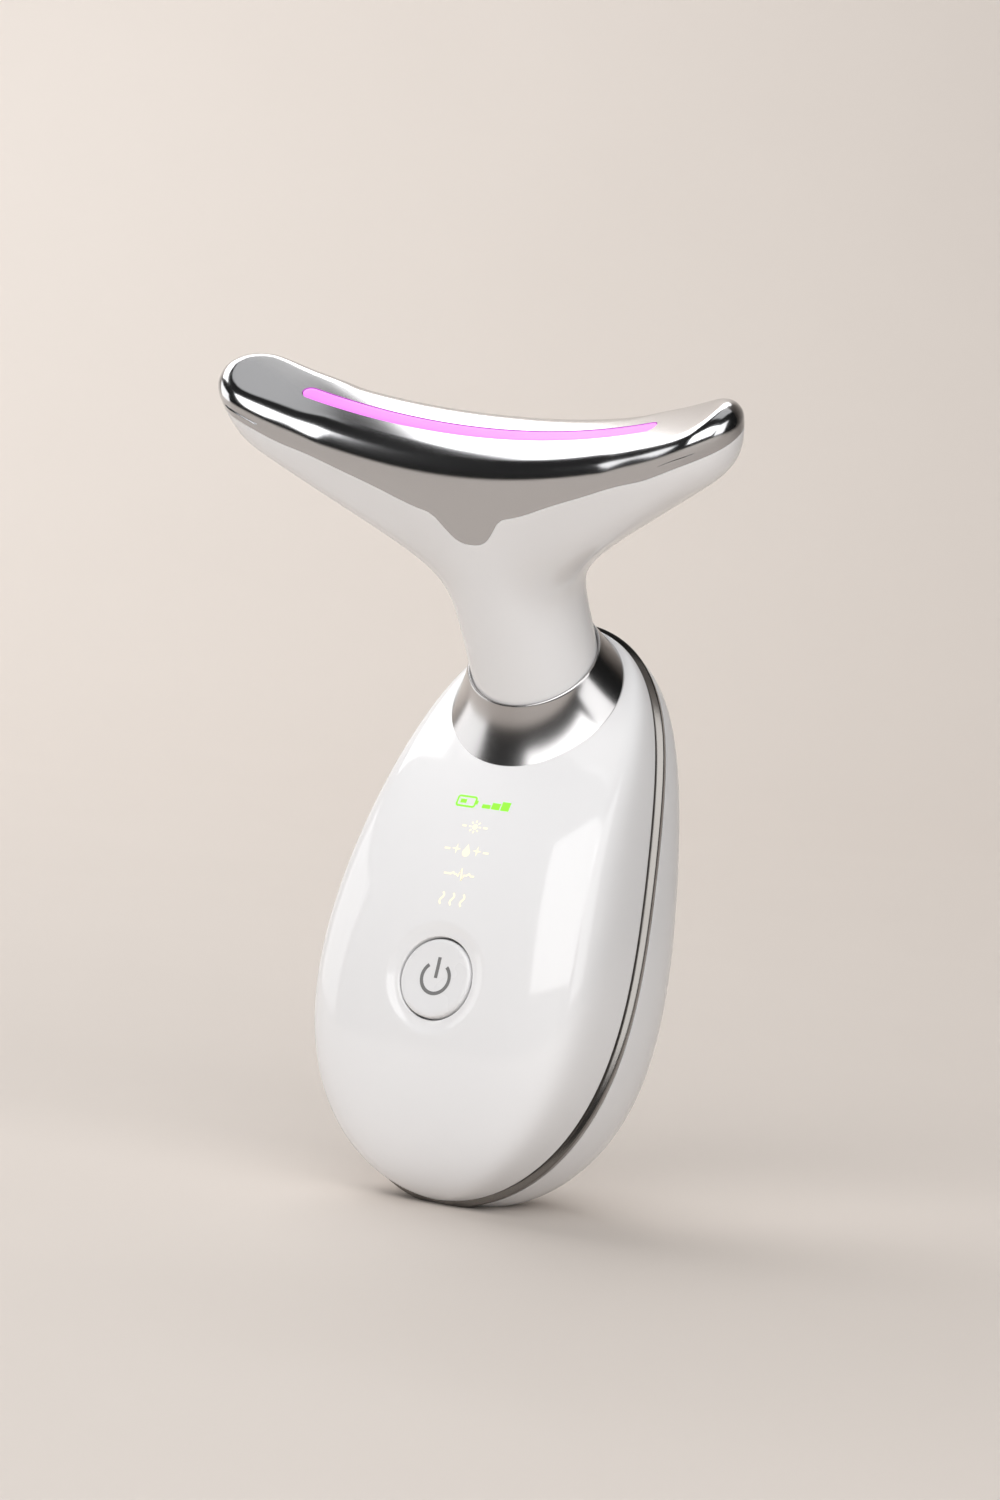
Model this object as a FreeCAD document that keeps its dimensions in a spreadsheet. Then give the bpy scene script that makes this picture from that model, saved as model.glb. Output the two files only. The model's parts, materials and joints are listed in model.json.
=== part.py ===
import FreeCAD, Part
import math
import os
import re
from types import SimpleNamespace

import Sketcher

from FreeCAD import Placement, Rotation, Vector

# Hand-held face and neck device: an egg-shaped handle in two shells with a metal band between them,
# a plated collar, and a forward-leaning neck that spreads into a bar with a plated cap and a light strip.
#
# Frames. Handle pieces are drawn upright: x to the right, y backwards from the parting plane of the
# shells, z up along the handle from its lower tip. Head pieces are drawn with z along the neck and the
# origin on top of the bar. Both are then leaned together, so that the foot lies on the plane z = 0.

SIZES = {
    # stance
    "handle_lean": 16.42,
    "foot_back": 9.04,
    "foot_rise": 2.04,
    # handle shells
    "handle_length": 85.6,
    "handle_half_width": 22.42,
    "front_depth": 14.8,
    "rear_depth": 17.3,
    "band_thickness": 3.0,
    "band_inset": 0.1,
    "band_wall": 2.0,
    "shell_wall": 2.0,
    "bottom_wall": 3.8,
    "lip_wall": 1.0,
    "lip_height": 2.3,
    "fit_gap": 0.15,
    "overrun": 20.0,
    # collar and neck
    "collar_depth": 5.34,
    "collar_tilt": 65.92,
    "collar_radius": 13.1,
    "collar_rise": 5.1,
    "collar_shift": 3.0,
    "collar_skirt": 3.5,
    "collar_seat": 2.5,
    "collar_lip": 0.5,
    "neck_tilt": 47.42,
    "neck_half_width": 9.75,
    "neck_half_depth": 8.41,
    "neck_root": 13.0,
    "neck_floor": 4.7,
    # head
    "head_rise": 37.0,
    "head_half_width": 42.4,
    "head_half_depth": 8.7,
    "head_end_depth": 7.3,
    "head_block_top": 9.5,
    "head_wall": 1.6,
    "top_radius": 107.0,
    "top_crown_radius": 45.0,
    "shoulder_radius": 3.2,
    "tab_drop": 13.4,
    "cap_edge_drop": 7.6,
    "cap_end_rise": 3.6,
    # light strip and the layers below it
    "strip_half_length": 29.0,
    "strip_half_width": 1.25,
    "strip_sink": 0.1,
    "strip_height": 2.3,
    "film_half_length": 31.5,
    "film_half_width": 5.0,
    "film_thickness": 0.3,
    "film_margin": 1.1,
    "film_drop": 0.45,
    "led_board_half_length": 31.0,
    "led_board_half_width": 2.6,
    "led_board_thickness": 0.8,
    "led_side": 1.6,
    "led_height": 0.6,
    "led_pitch": 6.8,
    "led_gap": 0.02,
    "carrier_half_length": 33.0,
    "carrier_half_width": 5.2,
    "carrier_thickness": 2.0,
    "carrier_screw_x": 20.0,
    "carrier_screw_y": 3.9,
    "carrier_screw_radius": 0.7,
    "carrier_screw_head": 1.2,
    "carrier_screw_head_height": 0.8,
    "carrier_screw_length": 6.0,
    "carrier_boss_radius": 1.8,
    "carrier_boss_gap": 0.5,
    "carrier_head_lift": 0.3,
    # vibration motor in the neck
    "motor_radius": 5.0,
    "motor_length": 17.4,
    "motor_lift": 0.1,
    "motor_bore_depth": 5.0,
    "shaft_radius": 0.75,
    "shaft_length": 12.0,
    "running_gap": 0.05,
    "shaft_end_gap": 0.5,
    "weight_radius": 3.6,
    "weight_hub": 1.5,
    "weight_height": 5.0,
    "weight_lift": 2.0,
    "sleeve_radius": 6.5,
    "sleeve_length": 14.0,
    "sleeve_lift": 1.2,
    # middle frame, main board and screws
    "frame_inset": 0.5,
    "frame_thickness": 2.0,
    "frame_gap": 0.2,
    "standoff_height": 1.8,
    "standoff_radius": 1.9,
    "board_half_width": 14.0,
    "board_thickness": 1.2,
    "board_hole_x": 11.5,
    "board_hole_margin": 3.0,
    "screw_radius": 0.9,
    "screw_head_radius": 1.9,
    "screw_head_height": 1.1,
    "screw_hole_gap": 0.2,
    "board_screw_length": 2.6,
    "frame_screw_length": 6.0,
    "boss_radius": 2.6,
    "boss_low_x": 11.6,
    "boss_high_x": 13.3,
    "neck_screw_x": 5.0,
    # button and switch
    "button_radius": 5.7,
    "button_sink": 0.35,
    "button_edge": 0.5,
    "button_gap": 0.25,
    "button_flange_gap": 1.5,
    "button_flange_radius": 6.6,
    "button_flange_thickness": 0.9,
    "button_stem_radius": 1.6,
    "dish_radius": 7.2,
    "dish_depth": 0.5,
    "switch_half_side": 3.0,
    "switch_height": 3.5,
    "switch_bore_depth": 2.1,
    "plunger_radius": 1.75,
    "plunger_depth": 1.3,
    "plunger_reach": 1.0,
    # indicator display
    "display_half_width": 5.5,
    "display_window": 1.0,
    "display_film_thickness": 0.2,
    "line_half_height": 1.2,
    "line_half_width": 4.5,
    "guide_roof": 0.8,
    "indicator_x": 2.0,
    "indicator_half_width": 0.8,
    "indicator_half_height": 0.4,
    "indicator_thickness": 0.7,
    # battery
    "battery_half_width": 10.5,
    "battery_thickness": 6.5,
    "tape_thickness": 0.5,
    "tape_margin": 2.0,
    # charging inlet
    "port_half_width": 4.47,
    "port_half_height": 1.63,
    "port_metal": 0.35,
    "port_length": 7.35,
    "port_recess": 0.5,
    "port_gap": 0.2,
    "tongue_half_width": 3.3,
    "tongue_half_height": 0.35,
    "tongue_length": 5.0,
    "charge_board_half_width": 6.5,
    "charge_board_thickness": 1.0,
    "charge_board_reach": 10.8,
    # leads and the band's contact
    "cable_radius": 0.55,
    "cable_x": 7.3,
    "cable_top": 5.85,
    "cable_bend": 8.0,
    "cable_tangent": 4.0,
    "cable_end_lift": 0.6,
    "channel_half_width": 1.1,
    "channel_back": 0.8,
    "lead_radius": 0.5,
    "lead_x": 1.5,
    "lead_tangent": 2.4,
    "lead_lift": 0.7,
    "lead_slot_gap": 0.7,
    "contact_half_width": 2.0,
    "contact_thickness": 0.3,
    "contact_end_gap": 0.1,
}

# Places up the handle, as shares of its length
HEIGHT_SHARES = {
    "collar_height": 0.85864,
    "boss_low_height": 0.14603,
    "boss_high_height": 0.73598,
    "neck_screw_height": 0.87033,
    "board_low": 0.1986,
    "board_high": 0.68925,
    "button_height": 0.34334,
    "display_low": 0.45035,
    "display_high": 0.67056,
    "first_line_height": 0.47605,
    "line_pitch": 0.04276,
    "battery_low": 0.22196,
    "battery_high": 0.64252,
    "port_height": 0.15187,
    "cable_end_height": 0.66589,
    "lead_top_height": 0.71846,
    "lead_end_height": 0.67874,
    "contact_height": 0.40888,
}
HEIGHTS = {name: SIZES["handle_length"] * share for name, share in HEIGHT_SHARES.items()}

# Shape of the handle: each half-width or depth is its middle size times sin(turn) times a short cosine
# sum, with turn going from 0 at the lower tip to a half circle at the upper one.
OUTLINE_SHARES = (0.055, 0.13, -0.045)
FRONT_SHARES = (0.445, -0.186, 0.065)
REAR_SHARES = (0.395, 0.007, 0.014)
FRONT_CORNER_SHARE = 0.98
REAR_CORNER_SHARE = 0.79
CIRCLE_HANDLE_SHARE = 0.5523
TURN_STEPS = 14
SPAN_STEPS = 3

# Rows of the neck and head: height as a share of the rise from collar to bar (0 is the top of the bar),
# spread as a share of the way from neck width to bar width, and flatness from 0, oval, to 1, straight.
HEAD_ROW_SHARES = (
    (-1.36, 0.0, 0.0),
    (-1.15, 0.0, 0.0),
    (-0.95, 0.0, 0.0),
    (-0.78, 0.0, 0.0),
    (-0.63, 0.02, 0.1),
    (-0.49, 0.16, 0.5),
    (-0.29, 0.5, 1.0),
    (-0.09, 0.86, 1.0),
    (0.0, 1.0, 1.0),
    (0.12, 1.0, 1.0),
)
# Lower edge of the cap seen from the front: across as a share of the half width, and height as a share
# of the tab's drop (below), of the edge's drop (middle) or of the rise at the ends (outside).
TAB_SHARES = ((0.0, 1.0), (0.045, 0.975), (0.085, 0.86))
EDGE_SHARES = ((0.125, 1.22), (0.165, 1.12), (0.236, 1.0), (0.33, 0.79), (0.472, 0.5), (0.613, 0.21))
END_SHARES = ((0.708, -0.11), (0.873, 0.69), (1.0, 1.0), (1.15, 1.25))
COLLAR_WAIST_SHARES = (0.42, 0.66)
BAR_HANDLE_SHARE = 0.333
TOP_SWEEP_SHARE = 1.3
INDICATOR_LINES = 5
LED_COUNT = 9

doc = FreeCAD.newDocument("FaceAndNeckDevice")
sheet = doc.addObject("Spreadsheet::Sheet", "Sizes")
s = SimpleNamespace()
NODES = {}


def add_cells(sizes):
    """Writes named sizes to the sheet and reads them back for the shapes made below."""
    for row, (name, value) in enumerate(sizes.items(), start=len(vars(s)) + 1):
        sheet.set("A%d" % row, name)
        sheet.set("B%d" % row, repr(value))
        sheet.setAlias("B%d" % row, name)
    doc.recompute()
    for name in sizes:
        setattr(s, name, float(sheet.get(name)))


add_cells(SIZES)
add_cells(HEIGHTS)
half_length = s.handle_length / 2


def rounded(turn, middle, shares):
    """Half-width or depth of the handle at one turn."""
    taper, swell, pinch = shares
    ripple = taper * math.cos(turn) + swell * math.cos(2 * turn) + pinch * math.cos(3 * turn)
    return middle * math.sin(turn) * (1 + swell + ripple)


def turn_at(height):
    return math.acos(1 - height / half_length)


def front_face(height):
    """Distance of the front surface from the parting plane, on the centre line."""
    return rounded(turn_at(height), s.front_depth, FRONT_SHARES)


def rear_face(height):
    """Distance of the rear surface behind the parting plane, on the centre line."""
    return s.band_thickness + rounded(turn_at(height), s.rear_depth, REAR_SHARES)


# Sizes that follow from the handle's curves are kept in the sheet too, for the pieces that meet them.
contact_turn = turn_at(s.contact_height)
DERIVED = {
    "face_at_button": front_face(s.button_height),
    "face_at_display": front_face(s.display_high),
    "face_at_port": rear_face(s.port_height),
    "band_bore_at_contact": rounded(contact_turn, s.handle_half_width - s.band_wall, OUTLINE_SHARES),
    "dish_ball": (s.dish_radius ** 2 + s.dish_depth ** 2) / (2 * s.dish_depth),
}
add_cells(DERIVED)


def sized(text):
    """Turns names of sizes in a text into references to the sheet."""

    def refer(match):
        word = match.group()
        return "Sizes." + word if hasattr(s, word) else word

    return re.sub(r"[a-z]\w*", refer, text)


def bind(obj, **expressions):
    for prop, text in expressions.items():
        obj.setExpression(prop, sized(text))
    return obj


def seat(obj, x="0", y="0", z="0"):
    """Binds the base point of an object's placement."""
    for axis, text in zip("xyz", (x, y, z)):
        obj.setExpression("Placement.Base." + axis, sized(text))
    return obj


def slab(name, x, y, z):
    """Box between pairs of coordinates."""
    obj = doc.addObject("Part::Box", name)
    for prop, (low, high) in zip(("Length", "Width", "Height"), (x, y, z)):
        obj.setExpression(prop, sized("(%s) - (%s)" % (high, low)))
    return seat(obj, x[0], y[0], z[0])


POINTING = {"up": 0, "front": 90, "back": -90}


def rod(name, radius, length, pointing="up", x="0", y="0", z="0"):
    """Cylinder that starts at a point and runs up, to the front or to the back."""
    obj = doc.addObject("Part::Cylinder", name)
    obj.Placement = Placement(Vector(), Rotation(Vector(1, 0, 0), POINTING[pointing]))
    bind(obj, Radius=radius, Height=length)
    return seat(obj, x, y, z)


def cut(name, base, *tools):
    obj = base
    for number, tool in enumerate(tools):
        result = doc.addObject("Part::Cut", "%s_cut%d" % (name, number))
        result.Base = obj
        result.Tool = tool
        obj = result
    return obj


def join(name, *pieces):
    obj = doc.addObject("Part::MultiFuse", name + "_joined")
    obj.Shapes = list(pieces)
    return obj


def common(name, first, second):
    obj = doc.addObject("Part::Common", name + "_common")
    obj.Base = first
    obj.Tool = second
    return obj


def feature(name, shape):
    obj = doc.addObject("Part::Feature", name)
    obj.Shape = shape
    return obj


def held(name, obj, placement):
    """Moves an object whose own place is bound to the sheet into another frame."""
    holder = doc.addObject("Part::Compound", name + "_holder")
    holder.Links = [obj]
    holder.Placement = placement
    return holder


def node(name, obj, placement):
    """Names a finished sub-part and puts it in its place."""
    if any("Placement" in path for path, _ in obj.ExpressionEngine):
        obj = held(name, obj, Placement())
    obj.Label = name
    obj.Placement = placement.multiply(obj.Placement)
    NODES[name] = obj
    return obj


def origin_plane(body, role):
    return next(plane for plane in body.Origin.OriginFeatures if plane.Role == role)


def profile_sketch(body, plane, points):
    """Closed outline of straight lines whose corners are bound to the sheet."""
    sketch = body.newObject("Sketcher::SketchObject", body.Name + "_sketch")
    sketch.AttachmentSupport = (origin_plane(body, plane), [""])
    sketch.MapMode = "FlatFace"
    count = len(points)
    turns = [2 * math.pi * i / count for i in range(count)]
    guesses = [Vector(math.cos(turn), math.sin(turn)) for turn in turns]
    for i in range(count):
        sketch.addGeometry(Part.LineSegment(guesses[i], guesses[(i + 1) % count]))
    for i in range(count):
        sketch.addConstraint(Sketcher.Constraint("Coincident", i, 2, (i + 1) % count, 1))
    for i, point in enumerate(points):
        for kind, axis, text in zip(("DistanceX", "DistanceY"), (-2, -1), point):
            if text == "0":
                sketch.addConstraint(Sketcher.Constraint("PointOnObject", i, 1, axis))
                continue
            index = sketch.addConstraint(Sketcher.Constraint(kind, -1, 1, i, 1, 1.0))
            sketch.setExpression("Constraints[%d]" % index, sized(text))
    return sketch


def turned(name, points):
    """Body turned about its z axis from a profile of (radius, height) corners."""
    body = doc.addObject("PartDesign::Body", name + "_body")
    sketch = profile_sketch(body, "XZ_Plane", points)
    turning = body.newObject("PartDesign::Revolution", name + "_turned")
    turning.Profile = sketch
    turning.ReferenceAxis = (sketch, ["V_Axis"])
    turning.Angle = 360
    return body


def arc_bar(name, half_width, inner, outer, reach):
    """Body bent along the bar's top arc, drawn about the centre of that arc."""
    body = doc.addObject("PartDesign::Body", name + "_body")
    inside = "-(top_radius + %s)" % inner
    outside = "-(top_radius + %s)" % outer
    corners = (
        ("-(%s)" % half_width, inside),
        (half_width, inside),
        (half_width, outside),
        ("-(%s)" % half_width, outside),
    )
    sketch = profile_sketch(body, "YZ_Plane", corners)
    bend = body.newObject("PartDesign::Revolution", name + "_bend")
    bend.Profile = sketch
    bend.ReferenceAxis = (sketch, ["H_Axis"])
    bend.Midplane = True
    bind(bend, Angle="2 * asin((%s) / top_radius)" % reach)
    return body


# Common placements
foot_point = Vector(0, s.foot_back, s.foot_rise)
LEAN = Rotation(Vector(1, 0, 0), -s.handle_lean)
HANDLE = Placement(-LEAN.multVec(foot_point), LEAN)
COLLAR_IN_HANDLE = Placement(
    Vector(0, -s.collar_depth, s.collar_height), Rotation(Vector(1, 0, 0), s.collar_tilt))
neck_rotation = Rotation(Vector(1, 0, 0), s.neck_tilt)
neck_mouth = COLLAR_IN_HANDLE.multVec(Vector(0, s.collar_shift, s.collar_rise))
head_origin = neck_mouth + neck_rotation.multVec(Vector(0, 0, s.head_rise))
HEAD_IN_HANDLE = Placement(head_origin, neck_rotation)
HEAD = HANDLE.multiply(HEAD_IN_HANDLE)
ARC_CENTRE = Placement(Vector(0, 0, s.top_radius), Rotation())
ARC = HEAD.multiply(ARC_CENTRE)


# Freeform blocks of the handle
def closed_solid(faces):
    """Solid inside faces that meet edge to edge."""
    skin = Part.Compound(faces)
    skin.sewShape()
    solid = Part.Solid(skin)
    if solid.Volume < 0:
        solid.reverse()
    return solid


def half_egg(half_width, depth, shares, corner, low, high, back):
    """Solid dome on the plane y = back; depth is negative for a dome that faces the front."""
    points = []
    turns = [math.pi * i / TURN_STEPS for i in range(TURN_STEPS + 1)]
    for turn in turns:
        across = rounded(turn, half_width, OUTLINE_SHARES)
        out = rounded(turn, depth, shares)
        points.append(Vector(across, out, low + (high - low) * (1 - math.cos(turn)) / 2))
    spine = Part.BSplineCurve()
    spine.interpolate(Points=points, Parameters=turns)
    arch = ((1, 0), (1, corner), (corner, 1), (0, 1), (-corner, 1), (-1, corner), (-1, 0))
    poles = [[Vector(p.x * a, back + p.y * b, p.z) for a, b in arch] for p in spine.getPoles()]
    surface = Part.BSplineSurface()
    surface.buildFromPolesMultsKnots(
        poles, spine.getMultiplicities(), [4, 3, 4], spine.getKnots(), [0, 1, 2],
        False, False, spine.Degree, 3)
    dome = surface.toShape()
    rim = [edge for edge in dome.Edges if not edge.Degenerated]
    base = Part.Face(Part.Wire(Part.__sortEdges__(rim)))
    return closed_solid([dome, base])


def egg_plate(inset, back, front, low_inset=None):
    """Plate with the handle's outline, moved in by an inset, between two planes."""
    low = inset if low_inset is None else low_inset
    high = s.handle_length - inset
    turns = [math.pi * i / TURN_STEPS for i in range(TURN_STEPS + 1)]
    right = []
    for turn in turns:
        across = rounded(turn, s.handle_half_width - inset, OUTLINE_SHARES)
        right.append(Vector(across, front, low + (high - low) * (1 - math.cos(turn)) / 2))
    sides = []
    for mirror in (1, -1):
        curve = Part.BSplineCurve()
        curve.interpolate(Points=[Vector(p.x * mirror, p.y, p.z) for p in right], Parameters=turns)
        sides.append(curve.toShape())
    outline = Part.Face(Part.Wire(Part.__sortEdges__(sides)))
    return outline.extrude(Vector(0, back - front, 0))


def shell_blocks(depth, shares, corner, back):
    """Outer and inner dome of a shell with an even wall and a thicker bottom."""
    sign = math.copysign(1, depth)
    outer = half_egg(s.handle_half_width, depth, shares, corner, 0, s.handle_length, back)
    inner = half_egg(
        s.handle_half_width - s.shell_wall, depth - sign * s.shell_wall, shares, corner,
        s.bottom_wall, s.handle_length - s.shell_wall, back)
    return outer, inner


def foot_tool(name):
    """Everything below the plane that the handle stands on."""
    reach = "2 * overrun"
    obj = doc.addObject("Part::Box", name)
    bind(obj, Length=reach, Width=reach, Height="overrun")
    corner = Vector(-s.overrun, -s.overrun, -s.overrun)
    lean_back = Rotation(Vector(1, 0, 0), s.handle_lean)
    obj.Placement = Placement(foot_point, lean_back).multiply(Placement(corner, Rotation()))
    return obj


FRAME_BACK = "(frame_inset + frame_thickness)"
BOARD_BACK = "(frame_inset - standoff_height)"
BOARD_FRONT = "(frame_inset - standoff_height - board_thickness)"
BOSS_PLACES = [
    (side + across, height)
    for across, height in (("boss_low_x", "boss_low_height"), ("boss_high_x", "boss_high_height"))
    for side in ("", "-")
]
BOARD_HOLES = [
    (side + "board_hole_x", height)
    for height in ("board_low + board_hole_margin", "board_high - board_hole_margin")
    for side in ("", "-")
]
NECK_SCREWS = [(side + "neck_screw_x", "neck_screw_height") for side in ("", "-")]
LINE_HEIGHTS = ["first_line_height + %d * line_pitch" % i for i in range(INDICATOR_LINES)]


def make_front_shell():
    outer, inner = shell_blocks(-s.front_depth, FRONT_SHARES, FRONT_CORNER_SHARE, 0)
    outer_block = feature("front_outer", outer)
    wall = cut("front_wall", outer_block, feature("front_inner", inner))
    posts = [
        rod("front_boss%d" % i, "boss_radius", "front_depth + frame_inset", "front", x, "frame_inset", z)
        for i, (x, z) in enumerate(BOSS_PLACES)
    ]
    reach = feature("front_boss_reach", outer.fuse(egg_plate(s.band_wall, s.frame_inset, 0)))
    bosses = common("front_bosses", join("front_posts", *posts), reach)
    body = join("front_body", wall, bosses)
    pilots = [
        rod("front_pilot%d" % i, "screw_radius", "frame_screw_length", "front", x, "frame_inset", z)
        for i, (x, z) in enumerate(BOSS_PLACES)
    ]
    button_hole = rod("button_hole", "button_radius + button_gap", "overrun", "front", z="button_height")
    dish = doc.addObject("Part::Sphere", "button_dish")
    bind(dish, Radius="dish_ball")
    seat(dish, y="-(face_at_button - dish_depth + dish_ball)", z="button_height")
    window = slab(
        "display_pocket",
        ("-(display_half_width + fit_gap)", "display_half_width + fit_gap"),
        ("-(face_at_display - display_window)", "0"),
        ("display_low - fit_gap", "display_high + fit_gap"))
    bore = doc.addObject("Part::Cylinder", "collar_bore")
    bind(bore, Radius="collar_radius - collar_seat", Height="2 * overrun")
    bore.Placement = COLLAR_IN_HANDLE.multiply(Placement(Vector(0, 0, -s.overrun), Rotation()))
    obj = cut("front_shell", body, *pilots, button_hole, dish, window, bore, foot_tool("front_foot"))
    return node("front_shell", obj, HANDLE)


def make_rear_shell():
    outer, inner = shell_blocks(s.rear_depth, REAR_SHARES, REAR_CORNER_SHARE, s.band_thickness)
    wall = cut("rear_wall", feature("rear_outer", outer), feature("rear_inner", inner))
    lip_outside = s.band_wall + s.fit_gap
    lip_inside = lip_outside + s.lip_wall
    lip_front = s.band_thickness - s.lip_height
    lip_back = s.band_thickness + s.lip_wall
    lip_low = s.bottom_wall - s.lip_wall
    lip = cut(
        "rear_lip",
        join(
            "lip_ring",
            feature("lip_tongue", egg_plate(lip_outside, lip_back, lip_front, lip_low)),
            feature("lip_root", egg_plate(s.shell_wall / 2, lip_back, s.band_thickness, lip_low))),
        feature("lip_hollow", egg_plate(lip_inside, lip_back, lip_front, s.bottom_wall)))
    body = join("rear_body", wall, lip)
    port = stadium(
        "port_hole", "port_half_width + port_gap", "port_half_height + port_gap", "0", "overrun")
    obj = cut("rear_shell", body, port, foot_tool("rear_foot"))
    return node("rear_shell", obj, HANDLE)


def make_electrode_band():
    low = s.bottom_wall - s.lip_wall - s.fit_gap
    ring = cut(
        "band_ring",
        feature("band_outside", egg_plate(s.band_inset, s.band_thickness, 0)),
        feature("band_inside", egg_plate(s.band_wall, s.band_thickness, 0, low)))
    return node("electrode_band", cut("electrode_band", ring, foot_tool("band_foot")), HANDLE)


def make_mid_frame():
    inset = s.band_wall + s.fit_gap + s.lip_wall + s.frame_gap
    back = s.frame_inset + s.frame_thickness
    plate = feature("frame_plate", egg_plate(inset, back, s.frame_inset, s.bottom_wall + s.frame_gap))
    standoffs = [
        rod("standoff%d" % i, "standoff_radius", "standoff_height", "front", x, "frame_inset", z)
        for i, (x, z) in enumerate(BOARD_HOLES)
    ]
    pilot_length = "board_screw_length + board_thickness"
    pilots = [
        rod("standoff_pilot%d" % i, "screw_radius", pilot_length, "back", x, BOARD_FRONT, z)
        for i, (x, z) in enumerate(BOARD_HOLES)
    ]
    holes = [
        rod("frame_hole%d" % i, "screw_radius + screw_hole_gap", "overrun", "back", x, "0", z)
        for i, (x, z) in enumerate(BOSS_PLACES + NECK_SCREWS)
    ]
    slot = slab(
        "lead_slot",
        ("-(lead_x + lead_radius + lead_slot_gap)", "lead_x + lead_radius + lead_slot_gap"),
        ("0", "overrun"),
        ("lead_top_height - lead_radius - lead_slot_gap", "lead_top_height + lead_radius + lead_slot_gap"))
    obj = cut("mid_frame", join("frame_body", plate, *standoffs), *pilots, *holes, slot)
    return node("mid_frame", obj, HANDLE)


def stadium(name, half_width, half_height, back, front):
    """Bar with round ends that runs to the back at the height of the charging inlet."""
    length = "(%s) - (%s)" % (front, back)
    straight = "((%s) - (%s))" % (half_width, half_height)
    ends = [
        rod("%s_end%d" % (name, i), half_height, length, "back", side + straight, back, "port_height")
        for i, side in enumerate(("", "-"))
    ]
    middle = slab(
        name + "_middle",
        ("-" + straight, straight),
        (back, front),
        ("port_height - (%s)" % half_height, "port_height + (%s)" % half_height))
    return join(name, middle, *ends)


# Freeform blocks of the head
def head_section(half_width, centre_depth, end_depth, flat):
    """Quarter outline as two joined cubic arcs, between an oval and a bar with round ends."""
    k = CIRCLE_HANDLE_SHARE
    w, d, e = half_width, centre_depth, end_depth
    p = [Vector(w, 0), Vector(w, k * d), Vector(k * w, d), Vector(0, d)]
    oval = [
        p[0],
        (p[0] + p[1]) / 2,
        (p[0] + p[1] * 2 + p[2]) / 4,
        (p[0] + p[1] * 3 + p[2] * 3 + p[3]) / 8,
        (p[1] + p[2] * 2 + p[3]) / 4,
        (p[2] + p[3]) / 2,
        p[3],
    ]
    join_x = w - e
    bar = [
        Vector(w, 0),
        Vector(w, k * e),
        Vector(join_x + k * e, e),
        Vector(join_x, e),
        Vector(join_x - k * e, e),
        Vector(join_x * BAR_HANDLE_SHARE, d),
        Vector(0, d),
    ]
    return [a * (1 - flat) + b * flat for a, b in zip(oval, bar)]


def ring_points(quarter, height):
    """Points all round a section, from its quarter outline."""
    points = []
    for span in (quarter[:4], quarter[3:]):
        curve = Part.BezierCurve()
        curve.setPoles(span)
        points += [curve.value(i / SPAN_STEPS) for i in range(SPAN_STEPS)]
    points.append(quarter[-1])
    half = points + [Vector(-p.x, p.y) for p in reversed(points[:-1])]
    ring = half[:-1] + [Vector(p.x, -p.y) for p in reversed(half[1:])]
    return [Vector(p.x, p.y, height) for p in ring]


def head_block(inset, low_extra):
    """Solid neck and bar, moved in by an inset; low_extra lengthens or shortens the neck."""
    rows = []
    for height_share, spread_share, flat_share in HEAD_ROW_SHARES:
        spread = s.neck_half_width + (s.head_half_width - s.neck_half_width) * spread_share
        depth = s.neck_half_depth + (s.head_half_depth - s.neck_half_depth) * spread_share
        height = height_share * s.head_rise
        quarter = head_section(spread - inset, depth - inset, s.head_end_depth - inset, flat_share)
        rows.append([height, quarter])
    rows[0][0] -= low_extra
    rows[-1][0] = s.head_block_top
    poles = []
    for height, quarter in rows:
        points = ring_points(quarter, height)
        ring = Part.BSplineCurve()
        steps = [i / len(points) for i in range(len(points) + 1)]
        ring.interpolate(Points=points, PeriodicFlag=True, Parameters=steps)
        poles.append(ring.getPoles())
    spans = len(rows) - ring.Degree
    row_knots = [float(i) for i in range(spans + 1)]
    row_multiplicities = [ring.Degree + 1] + [1] * (spans - 1) + [ring.Degree + 1]
    surface = Part.BSplineSurface()
    surface.buildFromPolesMultsKnots(
        poles, row_multiplicities, ring.getMultiplicities(), row_knots, ring.getKnots(),
        False, True, ring.Degree, ring.Degree)
    side = surface.toShape()
    ends = [Part.Face(Part.Wire([edge])) for edge in side.Edges if edge.isClosed()]
    return closed_solid([side] + ends)


def crowned_tool(radius):
    """Everything above the bar's top: hollow along the bar, slightly crowned across it."""
    reach = s.overrun
    edge = radius + s.top_crown_radius - math.sqrt(s.top_crown_radius ** 2 - reach ** 2)
    left, right = Vector(0, -reach, -edge), Vector(0, reach, -edge)
    crown = Part.Arc(left, Vector(0, 0, -radius), right).toShape()
    sides = Part.makePolygon([right, Vector(0, reach, 0), Vector(0, -reach, 0), left]).Edges
    profile = Part.Face(Part.Wire(Part.__sortEdges__([crown] + sides)))
    sweep = 2 * math.degrees(math.asin(TOP_SWEEP_SHARE * s.head_half_width / radius))
    tool = profile.revolve(Vector(), Vector(0, 1, 0), sweep)
    tool.rotate(Vector(), Vector(0, 1, 0), -sweep / 2)
    tool.translate(Vector(0, 0, s.top_radius))
    return tool


def on_crown(edge, radius):
    """True for an edge that lies all along the bar's crowned top."""
    for value in edge.discretize(7):
        away = math.hypot(value.x, value.z - s.top_radius)
        crown = s.top_crown_radius - math.sqrt(s.top_crown_radius ** 2 - value.y ** 2)
        if abs(away - radius - crown) > s.fit_gap:
            return False
    return True


def head_top(block, radius, shoulder):
    """Cuts the crowned top into a head block and rounds its edge."""
    block = block.cut(crowned_tool(radius))
    rim = [edge for edge in block.Edges if on_crown(edge, radius)]
    return block.makeFillet(shoulder, rim)


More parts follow.
